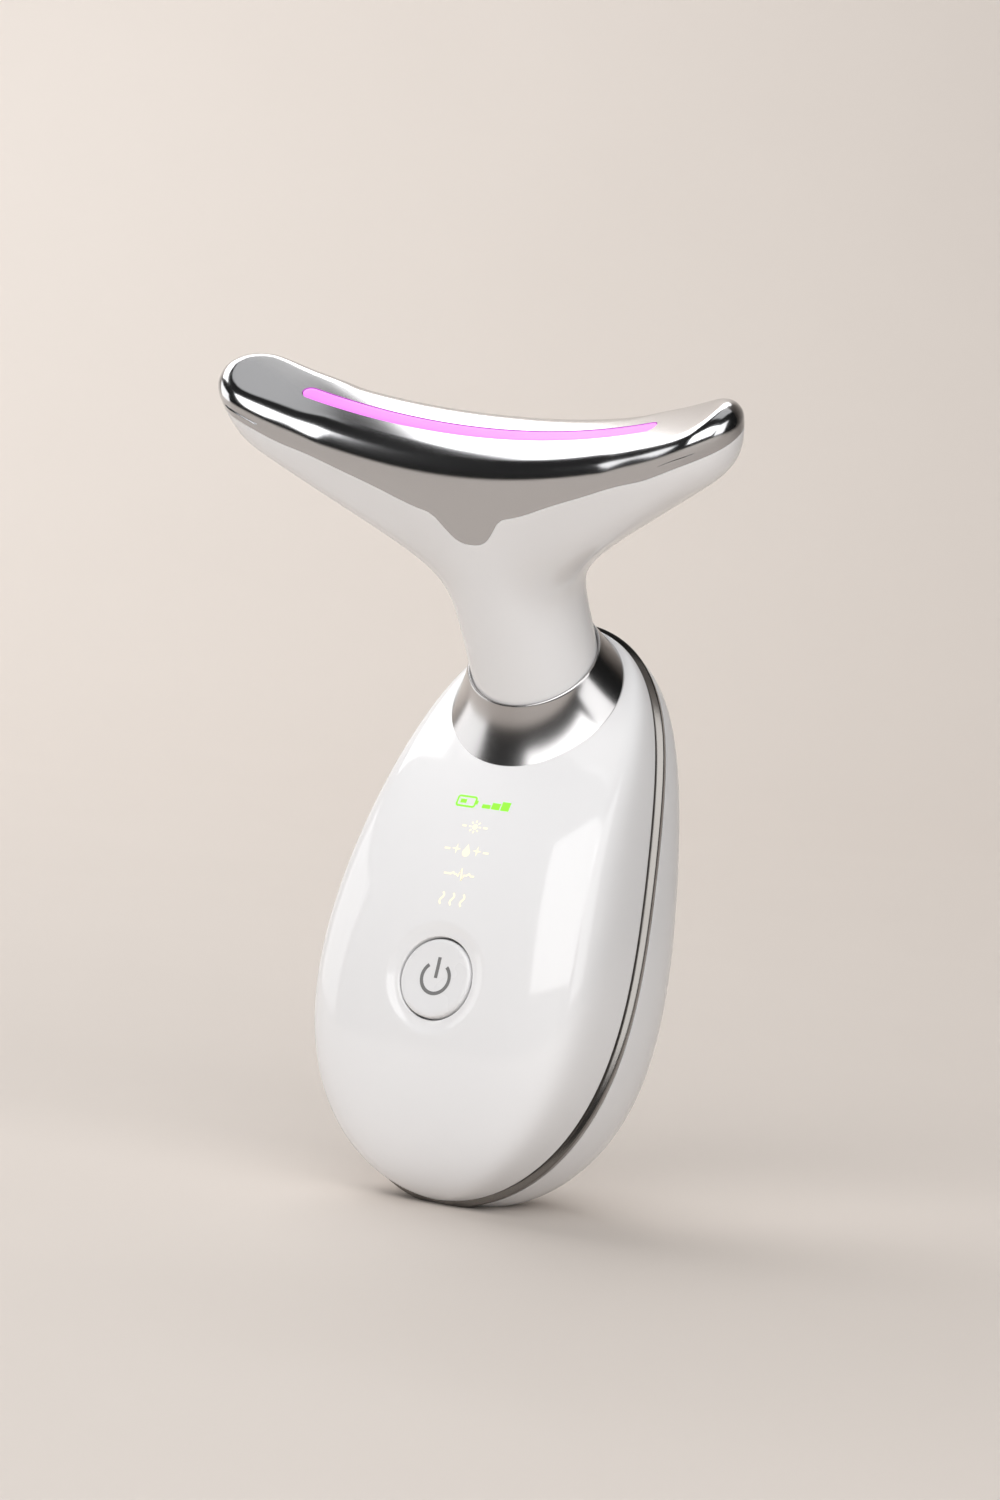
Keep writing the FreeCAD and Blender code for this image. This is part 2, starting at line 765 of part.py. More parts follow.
def cap_region():
    """Everything above the lower edge of the cap, as seen from the front."""
    half = [(x, -s.tab_drop * z) for x, z in TAB_SHARES]
    half += [(x, -s.cap_edge_drop * z) for x, z in EDGE_SHARES]
    half += [(x, s.cap_end_rise * z) for x, z in END_SHARES]
    points = [Vector(s.head_half_width * x, -s.overrun, z) for x, z in half]
    points = [Vector(-p.x, p.y, p.z) for p in reversed(points[1:])] + points
    curve = Part.BSplineCurve()
    curve.interpolate(points)
    first, last = points[0], points[-1]
    top = s.overrun
    corners = [last, Vector(last.x, last.y, top), Vector(first.x, first.y, top), first]
    lid = Part.makePolygon(corners).Edges
    face = Part.Face(Part.Wire(Part.__sortEdges__([curve.toShape()] + lid)))
    return face.extrude(Vector(0, 2 * s.overrun, 0))


def arc_tool(name, *sizes):
    """Bent bar as a tool in the head's own frame."""
    body = arc_bar(name, *sizes)
    body.Placement = ARC_CENTRE
    return body


# Depths of the layers below the bar's top, and the top's rise above its middle at the carrier's screws
STRIP_FLOOR = "strip_sink + strip_height"
BOARD_TOP = STRIP_FLOOR + " + led_height"
DECK_TOP = BOARD_TOP + " + led_board_thickness"
DECK_FLOOR = DECK_TOP + " + carrier_thickness"
SCREW_SAG = "carrier_screw_x ^ 2 / (2 * top_radius)"


def make_head():
    neck_end = s.neck_root - (-HEAD_ROW_SHARES[0][0] - 1) * s.head_rise
    outer_block = head_block(0, neck_end)
    inner_block = head_block(s.head_wall, 0)
    floor = -(s.head_rise + s.neck_floor)
    root = Part.makeBox(4 * s.overrun, 2 * s.overrun, 2 * s.overrun)
    root.translate(Vector(-2 * s.overrun, -s.overrun, floor - 2 * s.overrun))
    region = feature("cap_region", cap_region())

    bar = feature("bar_outer", head_top(outer_block, s.top_radius, s.shoulder_radius))
    hollow = feature(
        "bar_inner", head_top(inner_block, s.top_radius + s.head_wall, s.shoulder_radius - s.head_wall))
    slot = arc_tool(
        "strip_slot", "strip_half_width + fit_gap", "-overrun", "head_wall + fit_gap",
        "strip_half_length + fit_gap")
    cap = cut("head_cap", common("cap_walls", cut("bar_walls", bar, hollow), region), slot)
    node("head_cap", cap, HEAD)

    neck = feature("neck_outer", outer_block)
    cavity = feature("neck_cavity", inner_block.cut(root))
    below = cut("housing_walls", neck, cavity, region)
    post_top = "(%s - (%s) - carrier_boss_gap)" % (SCREW_SAG, DECK_FLOOR)
    posts = []
    pilots = []
    for i, side in enumerate(("", "-")):
        x = side + "carrier_screw_x"
        posts.append(rod(
            "carrier_post%d" % i, "carrier_boss_radius", "overrun", "up", x, "carrier_screw_y",
            post_top + " - overrun"))
        pilots.append(rod(
            "carrier_pilot%d" % i, "carrier_screw_radius", "2 * overrun", "up", x, "carrier_screw_y",
            post_top + " - carrier_screw_length"))
    bosses = common("carrier_bosses", join("carrier_posts", *posts), neck)
    from_handle = HEAD_IN_HANDLE.inverse()
    frame_side = slab(
        "frame_side", ("-2 * overrun", "2 * overrun"), ("frame_inset", "4 * overrun"), ("0", "8 * overrun"))
    seat_plane = held("seat_plane", frame_side, from_handle)
    channel = slab(
        "cable_channel",
        ("cable_x - channel_half_width", "cable_x + channel_half_width"),
        ("-overrun", "channel_back"),
        ("-(head_rise + neck_root + overrun)", "-(head_rise + neck_floor)"))
    for i, (x, z) in enumerate(NECK_SCREWS):
        pilot = rod(
            "neck_pilot%d" % i, "screw_radius", "frame_screw_length - frame_thickness", "front",
            x, "frame_inset", z)
        pilots.append(held("neck_pilot_side%d" % i, pilot, from_handle))
    body = join("housing_body", below, bosses)
    housing = cut("head_housing", body, seat_plane, channel, *pilots)
    node("head_housing", housing, HEAD)


def make_collar_ring():
    """Plated ring that flares from the neck to the front shell and follows the shell below."""
    middle_share, waist_share = COLLAR_WAIST_SHARES
    rim = doc.addObject("Part::Ellipse", "collar_rim")
    bind(rim, MajorRadius="collar_radius", MinorRadius="collar_radius")
    waist = doc.addObject("Part::Ellipse", "collar_waist")
    mouth = doc.addObject("Part::Ellipse", "collar_mouth")
    lip_x = "(neck_half_width + collar_lip)"
    lip_y = "(neck_half_depth / cos(collar_tilt - neck_tilt) + collar_lip)"
    between = "collar_radius + (%s - collar_radius) * " + str(waist_share)
    bind(waist, MajorRadius=between % lip_x, MinorRadius=between % lip_y)
    seat(waist, y="collar_shift * " + str(waist_share), z="collar_rise * " + str(middle_share))
    bind(mouth, MajorRadius=lip_x, MinorRadius=lip_y)
    seat(mouth, y="collar_shift", z="collar_rise")
    flare = doc.addObject("Part::Loft", "collar_flare")
    flare.Sections = [rim, waist, mouth]
    flare.Solid = True
    skirt = rod("collar_skirt_block", "collar_radius", "collar_skirt", "up", z="-collar_skirt")
    block = join("collar_block", flare, skirt)
    block.Placement = COLLAR_IN_HANDLE
    outer, _ = shell_blocks(-s.front_depth, FRONT_SHARES, FRONT_CORNER_SHARE, 0)
    neck = doc.addObject("Part::Ellipse", "collar_neck_outline")
    bind(neck, MajorRadius="neck_half_width + fit_gap", MinorRadius="neck_half_depth + fit_gap")
    channel = doc.addObject("Part::Extrusion", "collar_neck_channel")
    channel.Base = neck
    channel.DirMode = "Custom"
    channel.Dir = Vector(0, 0, 1)
    channel.Solid = True
    channel.Symmetric = True
    bind(channel, LengthFwd="4 * overrun")
    channel.Placement = Placement(neck_mouth, neck_rotation)
    behind = slab(
        "collar_back", ("-2 * overrun", "2 * overrun"), ("0", "2 * overrun"),
        ("0", "handle_length + 2 * overrun"))
    obj = cut("collar_ring", block, feature("collar_seat_block", outer), channel, behind)
    node("collar_ring", obj, HANDLE)


def make_light_layers():
    """Light strip, heating film, lamp board and carrier, one above the other under the cap."""
    strip = arc_bar("light_strip", "strip_half_width", "strip_sink", STRIP_FLOOR, "strip_half_length")
    node("light_strip", strip, ARC)
    film_top = "head_wall + film_drop"
    film_floor = film_top + " + film_thickness"
    film_slot_width = "strip_half_width + film_margin"
    film_slot_length = "strip_half_length + film_margin"
    film = cut(
        "heater_film",
        arc_bar("film_sheet", "film_half_width", film_top, film_floor, "film_half_length"),
        arc_bar("film_slot", film_slot_width, "0", "overrun", film_slot_length))
    node("heater_film", film, ARC)
    board = arc_bar("led_board", "led_board_half_width", BOARD_TOP, DECK_TOP, "led_board_half_length")
    node("led_board", board, ARC)

    lamps = []
    lamp_radius = s.top_radius + s.strip_sink + s.strip_height + s.led_height
    for i in range(LED_COUNT):
        lamp = Part.makeBox(s.led_side, s.led_side, s.led_height - 2 * s.led_gap)
        lamp.translate(Vector(-s.led_side / 2, -s.led_side / 2, -lamp_radius + s.led_gap))
        turn = math.degrees((i - (LED_COUNT - 1) / 2) * s.led_pitch / s.top_radius)
        lamp.rotate(Vector(), Vector(0, 1, 0), turn)
        lamps.append(lamp)
    node("head_leds", feature("head_leds_set", Part.Compound(lamps)), ARC)

    deck = arc_bar("carrier_deck", "carrier_half_width", DECK_TOP, DECK_FLOOR, "carrier_half_length")
    holes = [
        rod("carrier_hole%d" % i, "carrier_screw_radius + screw_hole_gap", "2 * top_radius", "up",
            side + "carrier_screw_x", "carrier_screw_y", "-2 * top_radius")
        for i, side in enumerate(("", "-"))
    ]
    node("cap_carrier", cut("cap_carrier", deck, *holes), ARC)

    screws = []
    for i, side in enumerate(("", "-")):
        x = side + "carrier_screw_x"
        head_seat = "(%s - (%s) + carrier_head_lift)" % (SCREW_SAG, DECK_TOP)
        head = rod("carrier_head%d" % i, "carrier_screw_head", "carrier_screw_head_height", "up",
                   x, "carrier_screw_y", head_seat)
        shank = rod("carrier_shank%d" % i, "carrier_screw_radius", "carrier_screw_length", "up",
                    x, "carrier_screw_y", head_seat + " - carrier_screw_length")
        screws.append(join("carrier_screw%d" % i, head, shank))
    node("carrier_screws", join("carrier_screw_pair", *screws), HEAD)


def make_motor():
    """Vibration motor standing on the floor of the neck, with its off-centre weight on top."""
    floor = Placement(Vector(0, 0, s.motor_lift - s.head_rise - s.neck_floor), Rotation())
    place = HEAD.multiply(floor)
    bore = "(shaft_radius + running_gap)"
    pit = "(motor_length - motor_bore_depth)"
    can = turned("motor_can", (
        ("0", "0"), ("motor_radius", "0"), ("motor_radius", "motor_length"), (bore, "motor_length"),
        (bore, pit), ("0", pit)))
    node("motor_can", can, place)
    low = "(motor_length - motor_bore_depth + shaft_end_gap)"
    high = "(motor_length - motor_bore_depth + shaft_end_gap + shaft_length)"
    shaft = turned("motor_shaft", (
        ("0", low), ("shaft_radius", low), ("shaft_radius", high), ("0", high)))
    node("motor_shaft", shaft, place)
    weight_low = "motor_length + weight_lift"
    half_disc = doc.addObject("Part::Cylinder", "weight_half")
    bind(half_disc, Radius="weight_radius", Height="weight_height")
    half_disc.Angle = 180
    seat(half_disc, z=weight_low)
    hub = rod("weight_hub_rod", "weight_hub", "weight_height", "up", z=weight_low)
    hole = rod("weight_hole", "shaft_radius", "overrun", "up", z="motor_length")
    node("motor_weight", cut("motor_weight", join("weight_body", half_disc, hub), hole), place)
    sleeve_low, sleeve_high = "sleeve_lift", "sleeve_lift + sleeve_length"
    sleeve = turned("motor_sleeve", (
        ("motor_radius", sleeve_low), ("sleeve_radius", sleeve_low), ("sleeve_radius", sleeve_high),
        ("motor_radius", sleeve_high)))
    node("motor_sleeve", sleeve, place)


def screw_set(name, places, y, pointing, length):
    """Screws with their heads on the plane y and their shanks pointing one way."""
    away = {"front": "back", "back": "front"}[pointing]
    screws = []
    for i, (x, z) in enumerate(places):
        shank = rod("%s_shank%d" % (name, i), "screw_radius", length, pointing, x, y, z)
        head = rod("%s_head%d" % (name, i), "screw_head_radius", "screw_head_height", away, x, y, z)
        screws.append(join("%s_screw%d" % (name, i), shank, head))
    node(name, join(name + "_set", *screws), HANDLE)


def make_main_board():
    plate = slab(
        "board_plate", ("-board_half_width", "board_half_width"), (BOARD_FRONT, BOARD_BACK),
        ("board_low", "board_high"))
    holes = [
        rod("board_hole%d" % i, "screw_radius + screw_hole_gap", "overrun", "back", x, BOARD_FRONT, z)
        for i, (x, z) in enumerate(BOARD_HOLES)
    ]
    node("main_board", cut("main_board", plate, *holes), HANDLE)
    screw_set("board_screws", BOARD_HOLES, BOARD_FRONT, "back", "board_screw_length")
    screw_set("frame_screws", BOSS_PLACES, FRAME_BACK, "front", "frame_screw_length")
    screw_set("neck_screws", NECK_SCREWS, FRAME_BACK, "front", "frame_screw_length - fit_gap")


SWITCH_TOP = "(standoff_height + board_thickness + switch_height - frame_inset)"


def make_button():
    """Push button on its switch; both are drawn with z towards the front."""
    facing = Placement(Vector(0, 0, s.button_height), Rotation(Vector(1, 0, 0), POINTING["front"]))
    place = HANDLE.multiply(facing)
    plunger_top = SWITCH_TOP + " + plunger_reach"
    flange_top = "(face_at_button - shell_wall - button_flange_gap)"
    flange_low = "(face_at_button - shell_wall - button_flange_gap - button_flange_thickness)"
    top = "(face_at_button - button_sink)"
    button = turned("power_button", (
        ("0", top),
        ("button_radius - button_edge", top),
        ("button_radius", top + " - button_edge"),
        ("button_radius", flange_top),
        ("button_flange_radius", flange_top),
        ("button_flange_radius", flange_low),
        ("button_stem_radius", flange_low),
        ("button_stem_radius", plunger_top),
        ("0", plunger_top)))
    node("power_button", button, place)
    plunger_low = SWITCH_TOP + " - plunger_depth"
    plunger = turned("switch_plunger", (
        ("0", plunger_low), ("plunger_radius", plunger_low), ("plunger_radius", plunger_top),
        ("0", plunger_top)))
    node("switch_plunger", plunger, place)
    half = "switch_half_side"
    case = slab(
        "switch_case", ("-" + half, half), ("-" + SWITCH_TOP, BOARD_FRONT),
        ("button_height - " + half, "button_height + " + half))
    bore = rod("switch_bore", "plunger_radius + running_gap", "switch_bore_depth", "back",
               y="-" + SWITCH_TOP, z="button_height")
    node("tact_switch", cut("tact_switch", case, bore), HANDLE)


GUIDE_TOP = "(face_at_display - display_window - display_film_thickness - fit_gap)"


def make_display():
    """Lamps on the board, the guide with a well for each line, and the film above it."""
    width = ("-display_half_width", "display_half_width")
    height = ("display_low", "display_high")
    block = slab("guide_block", width, ("-" + GUIDE_TOP, BOARD_FRONT), height)
    wells = [
        slab("guide_well%d" % i, ("-line_half_width", "line_half_width"),
             ("-(%s - guide_roof)" % GUIDE_TOP, "0"),
             (z + " - line_half_height", z + " + line_half_height"))
        for i, z in enumerate(LINE_HEIGHTS)
    ]
    node("light_guide", cut("light_guide", block, *wells), HANDLE)
    film_front = "-(%s + display_film_thickness)" % GUIDE_TOP
    film = slab("film_slab", width, (film_front, "-" + GUIDE_TOP), height)
    node("display_film", film, HANDLE)
    lamps = []
    for i, z in enumerate(LINE_HEIGHTS):
        for side in ("", "-"):
            x = side + "indicator_x"
            lamps.append(slab(
                "indicator%d_%s" % (i, "left" if side else "right"),
                (x + " - indicator_half_width", x + " + indicator_half_width"),
                (BOARD_FRONT + " - indicator_thickness", BOARD_FRONT),
                (z + " - indicator_half_height", z + " + indicator_half_height")))
    node("indicator_leds", join("indicator_set", *lamps), HANDLE)


def make_battery():
    low, high = "battery_low", "battery_high"
    tape = slab(
        "tape_slab", ("-(battery_half_width - tape_margin)", "battery_half_width - tape_margin"),
        (FRAME_BACK, FRAME_BACK + " + tape_thickness"), (low + " + tape_margin", high + " - tape_margin"))
    node("battery_tape", tape, HANDLE)
    cell_front = FRAME_BACK + " + tape_thickness"
    cell = slab(
        "battery_cell", ("-battery_half_width", "battery_half_width"),
        (cell_front, cell_front + " + battery_thickness"), (low, high))
    node("battery", cell, HANDLE)


PORT_MOUTH = "(face_at_port - port_recess)"
PORT_BACK = "(face_at_port - port_recess - port_length)"


def make_charging_inlet():
    """Charging socket behind the lower rear wall, with its tongue and the small board that carries it."""
    shell = stadium("socket_shell", "port_half_width", "port_half_height", PORT_BACK, PORT_MOUTH)
    mouth = stadium(
        "socket_mouth", "port_half_width - port_metal", "port_half_height - port_metal",
        PORT_BACK + " + port_metal", PORT_MOUTH + " + overrun")
    node("charge_socket", cut("charge_socket", shell, mouth), HANDLE)
    tongue = slab(
        "tongue_slab", ("-tongue_half_width", "tongue_half_width"),
        (PORT_BACK + " + port_metal", PORT_BACK + " + port_metal + tongue_length"),
        ("port_height - tongue_half_height", "port_height + tongue_half_height"))
    node("socket_tongue", tongue, HANDLE)
    board_top = "port_height - port_half_height"
    board = slab(
        "charge_plate", ("-charge_board_half_width", "charge_board_half_width"),
        (FRAME_BACK, FRAME_BACK + " + charge_board_reach"),
        (board_top + " - charge_board_thickness", board_top))
    node("charge_board", board, HANDLE)


def tube(points, radius, tangent):
    """Round lead along straight runs, joined by arcs that start a tangent's length from each corner."""
    edges = []
    start = points[0]
    for before, corner, after in zip(points, points[1:], points[2:]):
        back = (before - corner).normalize()
        ahead = (after - corner).normalize()
        first, last = corner + back * tangent, corner + ahead * tangent
        bisector = (back + ahead).normalize()
        half_angle = back.getAngle(ahead) / 2
        centre_distance = tangent / math.cos(half_angle)
        bend = tangent * math.tan(half_angle)
        edges.append(Part.LineSegment(start, first).toShape())
        edges.append(Part.Arc(first, corner + bisector * (centre_distance - bend), last).toShape())
        start = last
    edges.append(Part.LineSegment(start, points[-1]).toShape())
    path = Part.Wire(edges)
    ring = Part.Wire(Part.makeCircle(radius, points[0], points[1] - points[0]))
    return path.makePipeShell([ring], True, True)


def make_leads():
    """Cable from the bar to the main board, and the battery's two leads, inside the handle."""
    board_face = s.frame_inset - s.standoff_height - s.board_thickness
    top = HEAD_IN_HANDLE.multVec(Vector(s.cable_x, 0, -s.cable_top))
    bend = HEAD_IN_HANDLE.multVec(Vector(s.cable_x, 0, -s.head_rise - s.cable_bend))
    end = Vector(s.cable_x, board_face - s.cable_end_lift, s.cable_end_height)
    cable = tube([top, bend, end], s.cable_radius, s.cable_tangent)
    node("head_cable", feature("head_cable_tube", cable), HANDLE)
    cell_middle = s.frame_inset + s.frame_thickness + s.tape_thickness + s.battery_thickness / 2
    leads = []
    for side in (-1, 1):
        x = side * s.lead_x
        leads.append(tube(
            [Vector(x, cell_middle, s.battery_high), Vector(x, cell_middle, s.lead_top_height),
             Vector(x, board_face - s.lead_lift, s.lead_top_height),
             Vector(x, board_face - s.lead_lift, s.lead_end_height)],
            s.lead_radius, s.lead_tangent))
    node("battery_leads", feature("battery_lead_pair", Part.Compound(leads)), HANDLE)


def make_band_contact():
    """Bent strip that joins the main board to the band."""
    height = ("contact_height - contact_half_width", "contact_height + contact_half_width")
    foot_back = "frame_inset - contact_end_gap"
    inner = "board_half_width - contact_thickness"
    strip = slab("contact_strip", (inner, "band_bore_at_contact - contact_end_gap"),
                 (foot_back + " - contact_thickness", foot_back), height)
    riser = slab("contact_riser", (inner, "board_half_width"), (BOARD_BACK, foot_back), height)
    node("band_contact", join("band_contact", strip, riser), HANDLE)


make_front_shell()
make_rear_shell()
make_electrode_band()
make_mid_frame()
make_collar_ring()
make_head()
make_light_layers()
make_motor()
make_main_board()
make_button()
make_display()
make_battery()
make_charging_inlet()
make_leads()
make_band_contact()

doc.recompute()
faults = [obj.Name for obj in doc.Objects if {"Invalid", "Error"} & set(obj.State)]
for label, obj in NODES.items():
    if obj.Shape.isNull() or not obj.Shape.isValid() or not obj.Shape.Solids:
        faults.append(label)
if faults:
    raise RuntimeError("failed: " + ", ".join(faults))
os.makedirs("parts", exist_ok=True)
for label, obj in NODES.items():
    obj.Shape.exportStep("parts/%s.step" % label)
    print(label, len(obj.Shape.Solids), round(obj.Shape.Volume, 1))
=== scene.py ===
import json
import math

import bmesh
import bpy
import numpy as np
from mathutils import Matrix, Vector


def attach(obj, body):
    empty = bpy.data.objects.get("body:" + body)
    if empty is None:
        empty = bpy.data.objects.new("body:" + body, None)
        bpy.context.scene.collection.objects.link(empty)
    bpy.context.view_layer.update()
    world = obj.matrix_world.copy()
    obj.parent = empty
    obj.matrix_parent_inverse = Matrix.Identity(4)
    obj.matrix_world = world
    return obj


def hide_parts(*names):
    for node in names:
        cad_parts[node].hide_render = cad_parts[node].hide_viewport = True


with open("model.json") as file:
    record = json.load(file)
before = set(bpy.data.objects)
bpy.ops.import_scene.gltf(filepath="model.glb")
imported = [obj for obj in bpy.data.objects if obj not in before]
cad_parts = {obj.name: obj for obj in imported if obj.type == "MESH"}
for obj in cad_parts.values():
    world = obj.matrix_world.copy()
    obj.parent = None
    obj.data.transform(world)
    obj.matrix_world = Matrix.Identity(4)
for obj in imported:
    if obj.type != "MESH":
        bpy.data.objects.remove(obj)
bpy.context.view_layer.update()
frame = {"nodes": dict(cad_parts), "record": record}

MM = 0.001
WELD = 1e-6
SMOOTH_ANGLE = 35.0

# Stance and the frames that the pieces are drawn in, in millimetres, as in the part's source
HANDLE_LEAN = math.radians(16.42)
FOOT_POINT = np.array((0.0, 9.04, 2.04))
COLLAR_TILT = math.radians(65.92)
COLLAR_PLACE = np.array((0.0, -5.34, 73.5))
HEAD_TILT = math.radians(31.0)
HEAD_PLACE = np.array((0.0, -14.58, 109.919))

# Handle
HANDLE_LENGTH = 85.6
HANDLE_HALF_WIDTH = 22.42
FRONT_DEPTH = 14.8
REAR_DEPTH = 17.3
BAND_THICKNESS = 3.0
SHELL_WALL = 2.0
BOTTOM_WALL = 3.8
BAND_INSET = 0.1
BAND_WALL = 1.9
BAND_EDGE = 0.22
OUTLINE_SHARES = (0.055, 0.13, -0.045)
FRONT_SHARES = (0.445, -0.186, 0.065)
REAR_SHARES = (0.395, 0.007, 0.014)
FRONT_CORNER = 0.98
REAR_CORNER = 0.79

# Head
NECK_HALF_WIDTH = 9.75
NECK_HALF_DEPTH = 8.41
NECK_TILT = math.radians(47.42)
HEAD_RISE = 37.0
NECK_TAIL = 13.0
NECK_HIDDEN = 6.0
HEAD_HALF_WIDTH = 42.4
HEAD_HALF_DEPTH = 8.7
HEAD_END_DEPTH = 7.3
HEAD_BLOCK_TOP = 9.5
TOP_RADIUS = 107.0
CROWN_RADIUS = 45.0
SHOULDER_RADIUS = 5.2
SHOULDER_TAPER = 1.6
SHOULDER_ROOM = 0.7
CAP_WALL = 1.2
HOUSING_WALL = 1.6
CIRCLE_HANDLE = 0.5523
HEAD_ROWS = (
    (-1.36, 0.0, 0.0),
    (-1.15, 0.0, 0.0),
    (-0.95, 0.0, 0.0),
    (-0.78, 0.0, 0.0),
    (-0.63, 0.02, 0.1),
    (-0.49, 0.16, 0.5),
    (-0.29, 0.5, 1.0),
    (-0.09, 0.86, 1.0),
    (0.0, 1.0, 1.0),
    (0.12, 1.0, 1.0),
)
TAB_DROP = 13.4
CAP_EDGE_DROP = 7.6
CAP_END_RISE = 3.6
TAB_SHARES = ((0.0, 1.0), (0.045, 0.975), (0.085, 0.86))
EDGE_SHARES = ((0.125, 1.22), (0.165, 1.12), (0.236, 1.0), (0.33, 0.79), (0.472, 0.5), (0.613, 0.21))
END_SHARES = ((0.708, -0.11), (0.873, 0.69), (1.0, 1.0), (1.15, 1.25))
STRIP_HALF_LENGTH = 29.0
STRIP_HALF_WIDTH = 1.25
SLOT_GAP = 0.12
SLOT_DEPTH = 0.6

# Collar
COLLAR_RADIUS = 13.1
COLLAR_RISE = 5.1
COLLAR_SHIFT = 3.0
COLLAR_LIP = 0.5
COLLAR_WAIST = (0.47, 0.56)

# Button and display
BUTTON_HEIGHT = 29.39
BUTTON_RADIUS = 5.7
BUTTON_GAP = 0.25
FIRST_LINE_HEIGHT = 40.75
LINE_PITCH = 3.66
PORT_HEIGHT = 13.0
PORT_HALF_WIDTH = 4.67
PORT_HALF_HEIGHT = 1.83


def tilted(points, angle):
    """Points turned about the x axis."""
    x, y, z = np.moveaxis(np.asarray(points, float), -1, 0)
    c, s = math.cos(angle), math.sin(angle)
    return np.stack((x, y * c - z * s, y * s + z * c), axis=-1)


def from_handle(points):
    return tilted(np.asarray(points) - FOOT_POINT, -HANDLE_LEAN) * MM


def collar_on_handle(points):
    return tilted(points, COLLAR_TILT) + COLLAR_PLACE


def from_collar(points):
    return from_handle(collar_on_handle(points))


def from_head(points):
    return (tilted(points, HEAD_TILT) + HEAD_PLACE) * MM


def linked(name, data):
    """New object in the scene."""
    obj = bpy.data.objects.new(name, data)
    bpy.context.scene.collection.objects.link(obj)
    return obj


def mesh_of(name, shape):
    mesh = bpy.data.meshes.new(name)
    shape.to_mesh(mesh)
    shape.free()
    return mesh


class Skin:
    """Points and faces of one piece while it is being drawn."""

    def __init__(self):
        self.points = []
        self.faces = []

    def add(self, points):
        points = np.asarray(points, float)
        start = len(self.points)
        self.points.extend(points.reshape(-1, 3).tolist())
        return np.arange(start, len(self.points)).reshape(points.shape[:-1])

    def quads(self, rows, keep=None):
        """Faces between the rows of a grid; keep says which cells get one."""
        for i in range(rows.shape[0] - 1):
            for j in range(rows.shape[1] - 1):
                if keep is None or keep(i, j):
                    self.faces.append((rows[i, j], rows[i, j + 1], rows[i + 1, j + 1], rows[i + 1, j]))

    def loops(self, rows):
        """Faces between closed loops that follow each other."""
        self.quads(np.concatenate((rows, rows[:, :1]), axis=1))

    def fan(self, loop, middle):
        for a, b in zip(loop, np.roll(loop, -1)):
            self.faces.append((a, b, middle))

    def shape(self, place):
        """Mesh of what was drawn, in metres in the part's own frame."""
        shape = bmesh.new()
        corners = [shape.verts.new(p) for p in place(np.array(self.points))]
        for face in self.faces:
            if len(set(face)) > 2:
                shape.faces.new([corners[i] for i in dict.fromkeys(face)])
        return shape

    def piece(self, name, place, sharp=SMOOTH_ANGLE):
        """Closed object of what was drawn."""
        shape = self.shape(place)
        bmesh.ops.remove_doubles(shape, verts=shape.verts, dist=WELD)
        return finished(name, shape, sharp)


def finished(name, shape, sharp=SMOOTH_ANGLE):
    """Turns a bmesh into an object with outward faces and smooth shading up to an angle."""
    bmesh.ops.dissolve_degenerate(shape, edges=shape.edges, dist=1e-7)
    bmesh.ops.recalc_face_normals(shape, faces=shape.faces)
    if shape.calc_volume(signed=True) < 0:
        bmesh.ops.reverse_faces(shape, faces=shape.faces)
    mesh = mesh_of(name, shape)
    mesh.shade_smooth()
    mesh.set_sharp_from_angle(angle=math.radians(sharp))
    return linked(name, mesh)


def plain_mesh(obj, name, sharp=SMOOTH_ANGLE):
    """Replaces an object by a plain mesh object of what its modifiers make."""
    graph = bpy.context.evaluated_depsgraph_get()
    mesh = bpy.data.meshes.new_from_object(obj.evaluated_get(graph))
    bpy.data.objects.remove(obj)
    shape = bmesh.new()
    shape.from_mesh(mesh)
    bpy.data.meshes.remove(mesh)
    bmesh.ops.remove_doubles(shape, verts=shape.verts, dist=WELD)
    return finished(name, shape, sharp)


def standing(obj, sharp=SMOOTH_ANGLE):
    """Cuts a piece flat where the device stands on the floor."""
    shape = bmesh.new()
    shape.from_mesh(obj.data)
    geometry = shape.verts[:] + shape.edges[:] + shape.faces[:]
    cut = bmesh.ops.bisect_plane(
        shape, geom=geometry, plane_co=(0, 0, 0), plane_no=(0, 0, -1), clear_outer=True)
    edges = [e for e in cut["geom_cut"] if isinstance(e, bmesh.types.BMEdge)]
    bmesh.ops.holes_fill(shape, edges=edges)
    name = obj.name
    bpy.data.objects.remove(obj)
    return finished(name, shape, sharp)


def carry(obj, body, slot, material, *nodes):
    """Gives a finished piece its material and its body, and hides the nodes that it stands for. The slot is
    not used.
    """
    obj.data.materials.clear()
    obj.data.materials.append(material)
    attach(obj, body)
    if nodes:
        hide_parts(*nodes)
    return obj


# Materials

def link(tree, source, target):
    tree.links.new(source, target)


def shader_group(name, inputs, outputs):
    """Empty shader node group with named sockets."""
    tree = bpy.data.node_groups.new(name, "ShaderNodeTree")
    for label, kind, default in inputs:
        socket = tree.interface.new_socket(label, in_out="INPUT", socket_type=kind)
        socket.default_value = default
    for label, kind in outputs:
        tree.interface.new_socket(label, in_out="OUTPUT", socket_type=kind)
    return tree, tree.nodes.new("NodeGroupInput"), tree.nodes.new("NodeGroupOutput")


